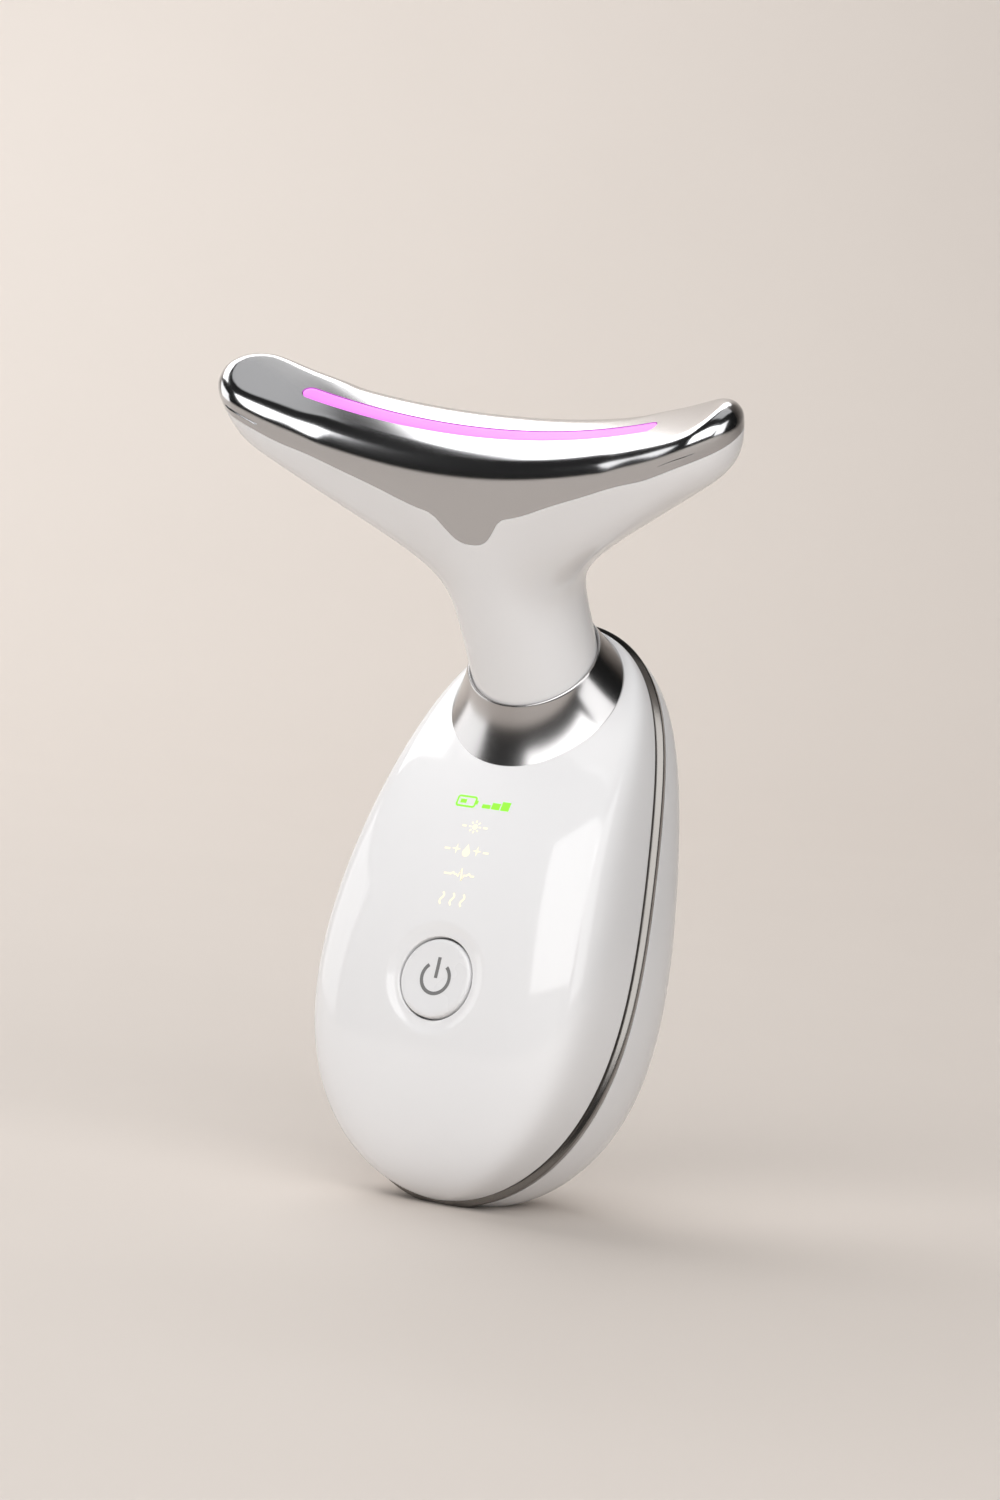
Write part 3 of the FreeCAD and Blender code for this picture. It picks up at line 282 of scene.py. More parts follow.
def moulded_group():
    """Faint shade, handling marks and fine grain of a moulded surface."""
    tree, given, out = shader_group(
        "moulded_surface",
        (("Color", "NodeSocketColor", (0.8, 0.8, 0.8, 1)), ("Shade", "NodeSocketColor", (0.7, 0.7, 0.7, 1)),
         ("Cloud Scale", "NodeSocketFloat", 60.0), ("Grain Scale", "NodeSocketFloat", 4000.0),
         ("Roughness Low", "NodeSocketFloat", 0.15), ("Roughness High", "NodeSocketFloat", 0.25)),
        (("Color", "NodeSocketColor"), ("Roughness", "NodeSocketFloat"), ("Height", "NodeSocketFloat")))
    place = tree.nodes.new("ShaderNodeTexCoord")
    cloud = tree.nodes.new("ShaderNodeTexNoise")
    cloud.inputs["Detail"].default_value = 3.0
    grain = tree.nodes.new("ShaderNodeTexNoise")
    grain.inputs["Detail"].default_value = 2.0
    for texture, scale in ((cloud, "Cloud Scale"), (grain, "Grain Scale")):
        link(tree, place.outputs["Object"], texture.inputs["Vector"])
        link(tree, given.outputs[scale], texture.inputs["Scale"])
    tint = tree.nodes.new("ShaderNodeMix")
    tint.data_type = "RGBA"
    link(tree, cloud.outputs["Fac"], tint.inputs["Factor"])
    link(tree, given.outputs["Color"], tint.inputs["A"])
    link(tree, given.outputs["Shade"], tint.inputs["B"])
    gloss = tree.nodes.new("ShaderNodeMapRange")
    gloss.inputs["From Min"].default_value = 0.3
    gloss.inputs["From Max"].default_value = 0.7
    link(tree, cloud.outputs["Fac"], gloss.inputs["Value"])
    link(tree, given.outputs["Roughness Low"], gloss.inputs["To Min"])
    link(tree, given.outputs["Roughness High"], gloss.inputs["To Max"])
    link(tree, tint.outputs["Result"], out.inputs["Color"])
    link(tree, gloss.outputs["Result"], out.inputs["Roughness"])
    link(tree, grain.outputs["Fac"], out.inputs["Height"])
    return tree


MOULDED = moulded_group()


def finish_of(name, color, shade, roughness, metallic=0.0, bump=0.02, cloud=60.0, grain=4000.0, coat=0.0,
              emission=None, strength=0.0):
    """Material of one finish on the shared moulded surface."""
    material = bpy.data.materials.new(name)
    material.use_nodes = True
    tree = material.node_tree
    shader = tree.nodes["Principled BSDF"]
    surface = tree.nodes.new("ShaderNodeGroup")
    surface.node_tree = MOULDED
    surface.inputs["Color"].default_value = (*color, 1)
    surface.inputs["Shade"].default_value = (*shade, 1)
    surface.inputs["Cloud Scale"].default_value = cloud
    surface.inputs["Grain Scale"].default_value = grain
    surface.inputs["Roughness Low"].default_value = roughness[0]
    surface.inputs["Roughness High"].default_value = roughness[1]
    relief = tree.nodes.new("ShaderNodeBump")
    relief.inputs["Strength"].default_value = bump
    relief.inputs["Distance"].default_value = 0.0001
    link(tree, surface.outputs["Color"], shader.inputs["Base Color"])
    link(tree, surface.outputs["Roughness"], shader.inputs["Roughness"])
    link(tree, surface.outputs["Height"], relief.inputs["Height"])
    link(tree, relief.outputs["Normal"], shader.inputs["Normal"])
    shader.inputs["Metallic"].default_value = metallic
    shader.inputs["Coat Weight"].default_value = coat
    shader.inputs["Coat Roughness"].default_value = 0.04
    if emission:
        shader.inputs["Emission Color"].default_value = (*emission, 1)
        shader.inputs["Emission Strength"].default_value = strength
    return material


WHITE_GLOSS = finish_of("white_gloss", (0.82, 0.82, 0.83), (0.80, 0.80, 0.81), (0.06, 0.09), bump=0.004)
BUTTON_WHITE = finish_of("button_white", (0.78, 0.78, 0.79), (0.76, 0.76, 0.77), (0.25, 0.32), bump=0.02)
PLATED = finish_of("plated", (0.56, 0.56, 0.57), (0.53, 0.53, 0.54), (0.15, 0.17), metallic=1.0, bump=0.004)
SATIN_PLATED = finish_of(
    "satin_plated", (0.5, 0.49, 0.49), (0.47, 0.46, 0.46), (0.19, 0.22), metallic=1.0, bump=0.004)
BAND_METAL = finish_of("band_metal", (0.2, 0.19, 0.18), (0.18, 0.17, 0.16), (0.16, 0.22), metallic=1.0)
STRIP_GLOW = finish_of(
    "strip_glow", (0.25, 0.08, 0.26), (0.22, 0.07, 0.23), (0.4, 0.5),
    emission=(0.956, 0.223, 1.0), strength=0.95)
ICON_GREY = finish_of("icon_grey", (0.19, 0.19, 0.19), (0.17, 0.17, 0.17), (0.4, 0.5))
LEVEL_GREEN = finish_of(
    "level_green", (0.05, 0.2, 0.01), (0.05, 0.18, 0.01), (0.4, 0.5),
    emission=(0.34, 1.0, 0.042), strength=0.9)
MARK_WARM = finish_of(
    "mark_warm", (0.4, 0.38, 0.3), (0.38, 0.36, 0.28), (0.4, 0.5),
    emission=(1.0, 0.92, 0.69), strength=0.75)

SLOT_FINISHES = {
    "shell_white": WHITE_GLOSS,
    "plated": PLATED,
    "band_metal": BAND_METAL,
    "button_white": BUTTON_WHITE,
    "strip_glow": STRIP_GLOW,
}
INNER_FINISHES = (
    ("film_amber", (0.5, 0.2, 0.03), (0.42, 0.16, 0.02), (0.25, 0.35), {"coat": 0.2}),
    ("board_green", (0.02, 0.12, 0.05), (0.015, 0.09, 0.04), (0.35, 0.5), {"cloud": 900.0}),
    ("lamp_clear", (0.85, 0.82, 0.6), (0.8, 0.76, 0.5), (0.15, 0.25), {"cloud": 600.0}),
    ("moulded_black", (0.015, 0.015, 0.016), (0.022, 0.022, 0.023), (0.45, 0.6), {"bump": 0.1}),
    ("screw_steel", (0.5, 0.5, 0.51), (0.4, 0.4, 0.41), (0.25, 0.4), {"metallic": 1.0}),
    ("motor_steel", (0.55, 0.55, 0.56), (0.47, 0.47, 0.48), (0.22, 0.34), {"metallic": 1.0}),
    ("soft_black", (0.02, 0.02, 0.02), (0.03, 0.03, 0.03), (0.7, 0.85), {"bump": 0.2}),
    ("film_smoke", (0.6, 0.6, 0.62), (0.55, 0.55, 0.57), (0.3, 0.4), {}),
    ("frame_grey", (0.5, 0.5, 0.51), (0.46, 0.46, 0.47), (0.5, 0.6), {"bump": 0.1}),
    ("tape_foam", (0.08, 0.08, 0.08), (0.06, 0.06, 0.06), (0.8, 0.9), {"bump": 0.4}),
    ("cell_wrap", (0.04, 0.1, 0.3), (0.03, 0.08, 0.24), (0.3, 0.45), {}),
    ("socket_steel", (0.6, 0.6, 0.61), (0.5, 0.5, 0.51), (0.2, 0.3), {"metallic": 1.0}),
    ("lead_red", (0.35, 0.01, 0.01), (0.3, 0.01, 0.01), (0.4, 0.5), {}),
    ("cable_grey", (0.06, 0.06, 0.065), (0.05, 0.05, 0.055), (0.45, 0.55), {}),
    ("contact_brass", (0.75, 0.52, 0.2), (0.65, 0.44, 0.16), (0.25, 0.35), {"metallic": 1.0}),
)
for finish_name, color, shade, roughness, more in INNER_FINISHES:
    SLOT_FINISHES[finish_name] = finish_of(finish_name, color, shade, roughness, **more)
for part in frame["record"]["subparts"]:
    node_object = frame["nodes"][part["node"]]
    node_object.data.materials.clear()
    node_object.data.materials.append(SLOT_FINISHES[part["material_slot"]])


# Handle shells

def spread(turn, middle, shares):
    """Half-width or depth of the handle at one turn, from 0 at its lower tip to pi at its upper one."""
    taper, swell, pinch = shares
    ripple = taper * np.cos(turn) + swell * np.cos(2 * turn) + pinch * np.cos(3 * turn)
    return middle * np.sin(turn) * (1 + swell + ripple)


def arch(w, corner):
    """Across and out, both from 0 to 1, along half of a shell's section from its rim to its middle."""
    v = 1 - w
    across = v ** 3 + 3 * v * v * w + 3 * v * w * w * corner
    out = 3 * v * v * w * corner + 3 * v * w * w + w ** 3
    return across, out


class Dome:
    """One curved wall of the handle, in front of (side -1) or behind (side 1) a plane."""

    STEPS = np.linspace(0, 1, 801)

    def __init__(self, half_width, depth, shares, corner, low, high, back, side):
        self.half_width, self.depth, self.shares, self.corner = half_width, depth, shares, corner
        self.low, self.high, self.back, self.side = low, high, back, side
        self.across, self.out = arch(self.STEPS, corner)

    def height(self, turn):
        return self.low + (self.high - self.low) * (1 - np.cos(turn)) / 2

    def turn(self, height):
        share = (np.asarray(height) - self.low) / (self.high - self.low)
        return np.arccos(np.clip(1 - 2 * share, -1, 1))

    def point(self, turn, w, mirror):
        across, out = arch(w, self.corner)
        x = mirror * spread(turn, self.half_width, OUTLINE_SHARES) * across
        y = self.back + self.side * spread(turn, self.depth, self.shares) * out
        return np.stack(np.broadcast_arrays(x, y, self.height(turn)), axis=-1)

    def share_at_out(self, out):
        return np.interp(out, self.out, self.STEPS)

    def lifted(self, x, z):
        """Points of the wall that are straight before or behind the given ones."""
        turn = self.turn(z)
        ratio = np.abs(x) / np.maximum(spread(turn, self.half_width, OUTLINE_SHARES), 1e-6)
        w = np.interp(-ratio, -self.across, self.STEPS)
        out = arch(w, self.corner)[1]
        return self.back + self.side * spread(turn, self.depth, self.shares) * out


FRONT_OUTER = Dome(HANDLE_HALF_WIDTH, FRONT_DEPTH, FRONT_SHARES, FRONT_CORNER, 0, HANDLE_LENGTH, 0, -1)
FRONT_INNER = Dome(
    HANDLE_HALF_WIDTH - SHELL_WALL, FRONT_DEPTH - SHELL_WALL, FRONT_SHARES, FRONT_CORNER,
    BOTTOM_WALL, HANDLE_LENGTH - SHELL_WALL, 0, -1)
REAR_OUTER = Dome(
    HANDLE_HALF_WIDTH, REAR_DEPTH, REAR_SHARES, REAR_CORNER, 0, HANDLE_LENGTH, BAND_THICKNESS, 1)
REAR_INNER = Dome(
    HANDLE_HALF_WIDTH - SHELL_WALL, REAR_DEPTH - SHELL_WALL, REAR_SHARES, REAR_CORNER,
    BOTTOM_WALL, HANDLE_LENGTH - SHELL_WALL, BAND_THICKNESS, 1)
TURN_STEPS = 120
WALL_STEPS = 60
RIM_EDGE = 0.35
RIM_DEPTHS = (0.0, 0.04, 0.13, 0.23)


def outline_normal(turn, dome):
    """Outward direction of the handle's outline, across and up."""
    step = 1e-4
    width = [spread(turn + d, dome.half_width, OUTLINE_SHARES) for d in (-step, step)]
    height = [dome.height(turn + d) for d in (-step, step)]
    across, up = height[1] - height[0], width[0] - width[1]
    length = np.hypot(across, up)
    return across / length, up / length


def dome_grid(dome, edge):
    """Grid of points over a dome, with its rim rounded by an edge radius where that isn't 0."""
    turns = np.linspace(0, math.pi, TURN_STEPS + 1)
    depth = np.maximum(spread(turns, dome.depth, dome.shares), 1e-6)
    normal_x, normal_z = outline_normal(turns, dome)
    columns = []
    start = dome.share_at_out(np.clip(edge / depth, 0, 1))
    for rim_depth in RIM_DEPTHS if edge else (0.0,):
        w = dome.share_at_out(np.clip(rim_depth / depth, 0, 1))
        pull = edge - math.sqrt(edge ** 2 - (edge - rim_depth) ** 2) if edge else 0.0
        columns.append((w, pull))
    for j in range(0 if edge else 1, WALL_STEPS + 1):
        columns.append((start + (1 - start) * j / WALL_STEPS, 0.0))
    halves = []
    for mirror in (1, -1):
        half = []
        for w, pull in columns:
            points = dome.point(turns, w, mirror)
            points[1:-1, 0] -= mirror * pull * normal_x[1:-1]
            points[1:-1, 2] -= pull * normal_z[1:-1]
            half.append(points)
        halves.append(np.stack(half, axis=1))
    return np.concatenate((halves[0], halves[1][:, -2::-1]), axis=1)


def round_hole(radius):
    return lambda angle: np.full_like(angle, radius)


def long_hole(half_width, half_height):
    """Distance from its middle to the edge of a hole with round ends."""

    def reach(angle):
        c, s = np.abs(np.cos(angle)), np.abs(np.sin(angle))
        straight = half_width - half_height
        flat = half_height / np.maximum(s, 1e-9)
        inside = np.sqrt(np.maximum(half_height ** 2 - (straight * s) ** 2, 0))
        return np.where(flat * c <= straight, flat, straight * c + inside)

    return reach


BRIDGE_ROWS = 8


def wall_with_hole(skin, dome, edge, height, window_cells, reach, rings):
    """Adds a dome with a hole to a skin. The window round the hole is counted in cells up and across from
    its middle; each ring is a distance from the hole's edge and a drop below the wall. Returns the loops of
    the dome's rim and of the hole's edge."""
    points = dome_grid(dome, edge)
    rows = skin.add(points)
    middle = points.shape[1] // 2
    centre_row = int(np.argmin(np.abs(points[:, middle, 2] - height)))
    first, last = centre_row - window_cells[0], centre_row + window_cells[0]
    left, right = middle - window_cells[1], middle + window_cells[1]
    skin.quads(rows, lambda i, j: not (first <= i < last and left <= j < right))
    window = [(first, j) for j in range(left, right)]
    window += [(i, right) for i in range(first, last)]
    window += [(last, j) for j in range(right, left, -1)]
    window += [(i, left) for i in range(last, first, -1)]
    border = np.array([points[i, j] for i, j in window])
    angle = np.arctan2(border[:, 2] - height, border[:, 0])
    edge_reach = reach(angle)

    def ring(offset):
        away = edge_reach + offset
        return np.stack((away * np.cos(angle), height + away * np.sin(angle)), axis=-1)

    loops = [[rows[i, j] for i, j in window]]
    outermost = ring(rings[0][0])
    for k in range(1, BRIDGE_ROWS):
        flat = border[:, (0, 2)] + (outermost - border[:, (0, 2)]) * k / BRIDGE_ROWS
        y = dome.lifted(flat[:, 0], flat[:, 1])
        loops.append(skin.add(np.stack((flat[:, 0], y, flat[:, 1]), axis=-1)))
    for offset, drop in rings:
        flat = ring(offset)
        y = dome.lifted(flat[:, 0], flat[:, 1]) - dome.side * drop
        loops.append(skin.add(np.stack((flat[:, 0], y, flat[:, 1]), axis=-1)))
    skin.loops(np.array(loops))
    rim = np.concatenate((rows[:, 0], rows[::-1, -1]))
    return rim, np.array(loops[-1])


def shell(name, outer, inner, height, window_cells, reach, rings):
    """Closed shell of two walls that meet along the rim and inside the hole."""
    skin = Skin()
    outer_rim, outer_edge = wall_with_hole(skin, outer, RIM_EDGE, height, window_cells, reach, rings)
    inner_rim, inner_edge = wall_with_hole(skin, inner, 0, height, window_cells, reach, ((0.0, 0.0),))
    skin.loops(np.array((outer_rim, inner_rim)))
    skin.loops(np.array((outer_edge, inner_edge)))
    return skin.piece(name, from_handle)


BUTTON_RINGS = (
    (2.4, 0.0), (2.0, 0.02), (1.7, 0.1), (1.4, 0.2), (1.1, 0.29), (0.7, 0.38), (0.35, 0.43), (0.15, 0.46),
    (0.04, 0.54), (0.0, 0.7))
BUTTON_WINDOW = (10, 10)
PORT_RINGS = ((1.2, 0.0), (0.45, 0.0), (0.28, 0.03), (0.12, 0.12), (0.03, 0.25), (0.0, 0.4))
PORT_WINDOW = (6, 12)
front = shell(
    "front_shell_skin", FRONT_OUTER, FRONT_INNER, BUTTON_HEIGHT, BUTTON_WINDOW,
    round_hole(BUTTON_RADIUS + BUTTON_GAP), BUTTON_RINGS)
carry(standing(front), "handle", "shell_white", WHITE_GLOSS, "front_shell")
rear = shell(
    "rear_shell_skin", REAR_OUTER, REAR_INNER, PORT_HEIGHT, PORT_WINDOW,
    long_hole(PORT_HALF_WIDTH, PORT_HALF_HEIGHT), PORT_RINGS)
carry(standing(rear), "handle", "shell_white", WHITE_GLOSS, "rear_shell")


# Band: a bevelled profile carried round the handle's outline

def geometry_tree(name, inputs):
    """Empty geometry node tree with named sizes; returns it with the sockets' identifiers."""
    tree = bpy.data.node_groups.new(name, "GeometryNodeTree")
    tree.interface.new_socket("Geometry", in_out="INPUT", socket_type="NodeSocketGeometry")
    ids = {}
    for label, kind in inputs:
        ids[label] = tree.interface.new_socket(label, in_out="INPUT", socket_type=kind).identifier
    tree.interface.new_socket("Geometry", in_out="OUTPUT", socket_type="NodeSocketGeometry")
    return tree, ids, tree.nodes.new("NodeGroupInput"), tree.nodes.new("NodeGroupOutput")


def made_by(tree, ids, obj, values):
    """Puts a tree on an object with its sizes."""
    modifier = obj.modifiers.new(tree.name, "NODES")
    modifier.node_group = tree
    for label, value in values.items():
        modifier[ids[label]] = value
    return obj


def rounded_sweep(tree, given, path, corner_steps, caps):
    """Carries a box profile with round corners along a path; returns the mesh socket."""
    profile = tree.nodes.new("GeometryNodeCurvePrimitiveQuadrilateral")
    fillet = tree.nodes.new("GeometryNodeFilletCurve")
    fillet.mode = "POLY"
    fillet.inputs["Count"].default_value = corner_steps
    sweep = tree.nodes.new("GeometryNodeCurveToMesh")
    sweep.inputs["Fill Caps"].default_value = caps
    link(tree, given.outputs["Width"], profile.inputs["Width"])
    link(tree, given.outputs["Height"], profile.inputs["Height"])
    link(tree, given.outputs["Edge"], fillet.inputs["Radius"])
    link(tree, profile.outputs["Curve"], fillet.inputs["Curve"])
    link(tree, path, sweep.inputs["Curve"])
    link(tree, fillet.outputs["Curve"], sweep.inputs["Profile Curve"])
    return sweep.outputs["Mesh"]


def painted(tree, given, out, source):
    """Ends a tree with real geometry in the given finish."""
    realize = tree.nodes.new("GeometryNodeRealizeInstances")
    paint = tree.nodes.new("GeometryNodeSetMaterial")
    link(tree, source, realize.inputs["Geometry"])
    link(tree, realize.outputs["Geometry"], paint.inputs["Geometry"])
    link(tree, given.outputs["Finish"], paint.inputs["Material"])
    link(tree, paint.outputs["Geometry"], out.inputs["Geometry"])


PROFILE_INPUTS = (
    ("Width", "NodeSocketFloat"), ("Height", "NodeSocketFloat"), ("Edge", "NodeSocketFloat"),
    ("Finish", "NodeSocketMaterial"))


def swept_band():
    tree, ids, given, out = geometry_tree("swept_band", PROFILE_INPUTS)
    painted(tree, given, out, rounded_sweep(tree, given, given.outputs["Geometry"], 4, False))
    return tree, ids


def band_outline():
    """Middle line of the band as a closed curve in the part's frame."""
    inset = BAND_INSET + BAND_WALL / 2
    turns = np.linspace(0, math.pi, 161)
    across = spread(turns, HANDLE_HALF_WIDTH - inset, OUTLINE_SHARES)
    up = inset + (HANDLE_LENGTH - 2 * inset) * (1 - np.cos(turns)) / 2
    back = np.full_like(turns, BAND_THICKNESS / 2)
    right = np.stack((across, back, up), axis=-1)
    left = right[-2:0:-1] * (-1, 1, 1)
    points = from_handle(np.concatenate((right, left)))
    curve = bpy.data.curves.new("band_outline", "CURVE")
    curve.dimensions = "3D"
    curve.twist_mode = "MINIMUM"
    spline = curve.splines.new("POLY")
    spline.points.add(len(points) - 1)
    spline.points.foreach_set("co", np.column_stack((points, np.ones(len(points)))).ravel())
    spline.use_cyclic_u = True
    return linked("band_outline", curve)


BAND_TREE, BAND_IDS = swept_band()
band = made_by(BAND_TREE, BAND_IDS, band_outline(), {
    "Width": BAND_WALL * MM, "Height": BAND_THICKNESS * MM, "Edge": BAND_EDGE * MM, "Finish": BAND_METAL})
band = standing(plain_mesh(band, "electrode_band_ring"), 40)
carry(band, "handle", "band_metal", BAND_METAL, "electrode_band")


# Contacts on both sides of the charging inlet's tongue: one rounded bar, repeated across it

def contact_row():
    tree, ids, given, out = geometry_tree("contact_row", PROFILE_INPUTS + (
        ("Count", "NodeSocketInt"), ("First", "NodeSocketVector"), ("Step", "NodeSocketVector"),
        ("Reach", "NodeSocketVector")))
    places = tree.nodes.new("GeometryNodeMeshLine")
    path = tree.nodes.new("GeometryNodeCurvePrimitiveLine")
    repeat = tree.nodes.new("GeometryNodeInstanceOnPoints")
    for label, socket in (
            ("Count", places.inputs["Count"]), ("First", places.inputs["Start Location"]),
            ("Step", places.inputs["Offset"]), ("Reach", path.inputs["End"])):
        link(tree, given.outputs[label], socket)
    link(tree, places.outputs["Mesh"], repeat.inputs["Points"])
    link(tree, rounded_sweep(tree, given, path.outputs["Curve"], 1, True), repeat.inputs["Instance"])
    painted(tree, given, out, repeat.outputs["Instances"])
    return tree, ids


CONTACT_COUNT = 12
CONTACT_PITCH = 0.5
CONTACT_LENGTH = 3.2
CONTACT_START = 1.5
CONTACT_WIDTH = 0.25
CONTACT_HEIGHT = 0.1
CONTACT_EDGE = 0.03
TONGUE_HALF_HEIGHT = 0.35
TONGUE_BACK = 11.29
HANDLE_MATRIX = Matrix.Rotation(-HANDLE_LEAN, 4, "X") @ Matrix.Translation(Vector(FOOT_POINT) * -MM)
ROW_TREE, ROW_IDS = contact_row()
CONTACT_BRASS = SLOT_FINISHES["contact_brass"]
for side, place_name in ((1, "upper"), (-1, "lower")):
    row = linked("contacts_" + place_name, bpy.data.meshes.new("contacts_" + place_name))
    row_start = -CONTACT_PITCH * (CONTACT_COUNT - 1) / 2
    first = Vector((row_start, TONGUE_BACK + CONTACT_START, PORT_HEIGHT + side * TONGUE_HALF_HEIGHT))
    made_by(ROW_TREE, ROW_IDS, row, {
        "Count": CONTACT_COUNT, "First": first * MM, "Step": (CONTACT_PITCH * MM, 0, 0),
        "Reach": (0, CONTACT_LENGTH * MM, 0), "Width": CONTACT_WIDTH * MM, "Height": CONTACT_HEIGHT * MM,
        "Edge": CONTACT_EDGE * MM, "Finish": CONTACT_BRASS})
    row = plain_mesh(row, "tongue_contacts_" + place_name)
    row.data.transform(HANDLE_MATRIX)
    carry(row, "handle", "contact_brass", CONTACT_BRASS)


# Head: neck and bar as one smooth surface, parted along the cap's lower edge

def head_section(half_width, centre_depth, end_depth, flat):
    """Quarter outline as two joined cubic arcs, between an oval and a bar with round ends."""
    k = CIRCLE_HANDLE
    w, d, e = half_width, centre_depth, end_depth
    p = np.array(((w, 0), (w, k * d), (k * w, d), (0, d)))
    oval = np.array((
        p[0], (p[0] + p[1]) / 2, (p[0] + 2 * p[1] + p[2]) / 4, (p[0] + 3 * p[1] + 3 * p[2] + p[3]) / 8,
        (p[1] + 2 * p[2] + p[3]) / 4, (p[2] + p[3]) / 2, p[3]))
    end = w - e
    bar = np.array((
        (w, 0), (w, k * e), (end + k * e, e), (end, e), (end - k * e, e), (end * 0.333, d), (0, d)))
    return oval * (1 - flat) + bar * flat


def bezier(poles, t):
    a, b, c, d = poles
    u = 1 - t
    return a * u ** 3 + 3 * b * u * u * t + 3 * c * u * t * t + d * t ** 3


def ring_nodes(quarter):
    points = [bezier(quarter[k:k + 4], t) for k in (0, 3) for t in (0, 1 / 3, 2 / 3)] + [quarter[-1]]
    half = points + [p * (-1, 1) for p in points[-2::-1]]
    return np.array(half[:-1] + [p * (1, -1) for p in half[:0:-1]])


def closed_spline(nodes, u):
    """Smooth closed curve through nodes at even steps of u from 0 to 1."""
    count = len(nodes)
    matrix = np.zeros((count, count))
    for i in range(count):
        matrix[i, i] = 4
        matrix[i, (i + 1) % count] = 1
        matrix[i, i - 1] = 1
    poles = np.linalg.solve(matrix / 6, nodes)
    place = (np.asarray(u) % 1) * count
    i = np.floor(place).astype(int) % count
    t = (place - np.floor(place))[..., None]
    weights = ((1 - t) ** 3, 3 * t ** 3 - 6 * t ** 2 + 4, -3 * t ** 3 + 3 * t ** 2 + 3 * t + 1, t ** 3)
    return sum(w * poles[(i + k - 1) % count] for k, w in enumerate(weights)) / 6


RING_STEPS = 288
RING_U = np.arange(RING_STEPS) / RING_STEPS


def head_rings():
    rings = []
    for height_share, spread_share, flat in HEAD_ROWS:
        wide = NECK_HALF_WIDTH + (HEAD_HALF_WIDTH - NECK_HALF_WIDTH) * spread_share
        deep = NECK_HALF_DEPTH + (HEAD_HALF_DEPTH - NECK_HALF_DEPTH) * spread_share
        ring = closed_spline(ring_nodes(head_section(wide, deep, HEAD_END_DEPTH, flat)), RING_U)
        rings.append(np.column_stack((ring, np.full(RING_STEPS, height_share * HEAD_RISE))))
    rings[0][:, 2] = -(HEAD_RISE + NECK_TAIL)
    rings[-1][:, 2] = HEAD_BLOCK_TOP
    return np.array(rings)


RINGS = head_rings()
ROW_SPANS = len(HEAD_ROWS) - 3
ROW_KNOTS = np.concatenate(([0] * 3, np.arange(ROW_SPANS + 1), [ROW_SPANS] * 3)).astype(float)


def row_weights(v):
    """Cubic spline weight of each row at v, which is an array of any shape."""
    v = np.clip(np.asarray(v, float), 0, ROW_SPANS - 1e-9)
    basis = [((a <= v) & (v < b)).astype(float) for a, b in zip(ROW_KNOTS, ROW_KNOTS[1:])]
    for degree in (1, 2, 3):
        raised = []
        for i in range(len(ROW_KNOTS) - 1 - degree):
            total = np.zeros_like(v)
            rise = ROW_KNOTS[i + degree] - ROW_KNOTS[i]
            fall = ROW_KNOTS[i + degree + 1] - ROW_KNOTS[i + 1]
            if rise:
                total = total + (v - ROW_KNOTS[i]) / rise * basis[i]
            if fall:
                total = total + (ROW_KNOTS[i + degree + 1] - v) / fall * basis[i + 1]
            raised.append(total)
        basis = raised
    return np.array(basis)


def head_side(v):
    """Points of the head's side at one v per ring step."""
    return np.einsum("ru,rux->ux", row_weights(v), RINGS)


def first_past(past, low, high, count):
    """Value between low and high, for each of a number of points, from which on a test holds."""
    low, high = np.full(count, float(low)), np.full(count, float(high))
    for _ in range(40):
        middle = (low + high) / 2
        beyond = past(middle)
        high = np.where(beyond, middle, high)
        low = np.where(beyond, low, middle)
    return (low + high) / 2


def side_meets(height, low, high):
    """Place up the head's side, for each ring step, at which it passes a height that is given as a
    function of x and y."""

    def above(v):
        x, y, z = head_side(v).T
        return z - height(x, y) > 0

    return first_past(above, low, high, RING_STEPS)


def top_height(x, y):
    """Height of the bar's top: hollow along the bar, slightly crowned across it."""
    away = TOP_RADIUS + CROWN_RADIUS - np.sqrt(CROWN_RADIUS ** 2 - y ** 2)
    return TOP_RADIUS - np.sqrt(away ** 2 - x ** 2)


def natural_curve(x, y, at):
    """Smooth curve through points, straight at its ends."""
    count = len(x)
    h = np.diff(x)
    matrix = np.eye(count)
    rate = np.zeros(count)
    for i in range(1, count - 1):
        matrix[i, i - 1:i + 2] = (h[i - 1], 2 * (h[i - 1] + h[i]), h[i])
        rate[i] = 6 * ((y[i + 1] - y[i]) / h[i] - (y[i] - y[i - 1]) / h[i - 1])
    bend = np.linalg.solve(matrix, rate)
    i = np.clip(np.searchsorted(x, at) - 1, 0, count - 2)
    a, b = (x[i + 1] - at) / h[i], (at - x[i]) / h[i]
    return a * y[i] + b * y[i + 1] + ((a ** 3 - a) * bend[i] + (b ** 3 - b) * bend[i + 1]) * h[i] ** 2 / 6


def cap_edge_height(x):
    """Height of the cap's lower edge at a place across the bar."""
    half = [(a, -TAB_DROP * b) for a, b in TAB_SHARES]
    half += [(a, -CAP_EDGE_DROP * b) for a, b in EDGE_SHARES]
    half += [(a, CAP_END_RISE * b) for a, b in END_SHARES]
    half = np.array(half) * (HEAD_HALF_WIDTH, 1)
    whole = np.concatenate((half[:0:-1] * (-1, 1), half))
    return natural_curve(whole[:, 0], whole[:, 1], np.clip(x, whole[0, 0], whole[-1, 0]))


V_EDGE = side_meets(lambda x, y: cap_edge_height(x), 1.0, ROW_SPANS)
V_RIM = side_meets(top_height, 4.0, ROW_SPANS)
V_NECK = side_meets(lambda x, y: -(HEAD_RISE + NECK_HIDDEN), 0.0, 4.0)


def unit(vectors):
    return vectors / np.linalg.norm(vectors, axis=-1, keepdims=True)


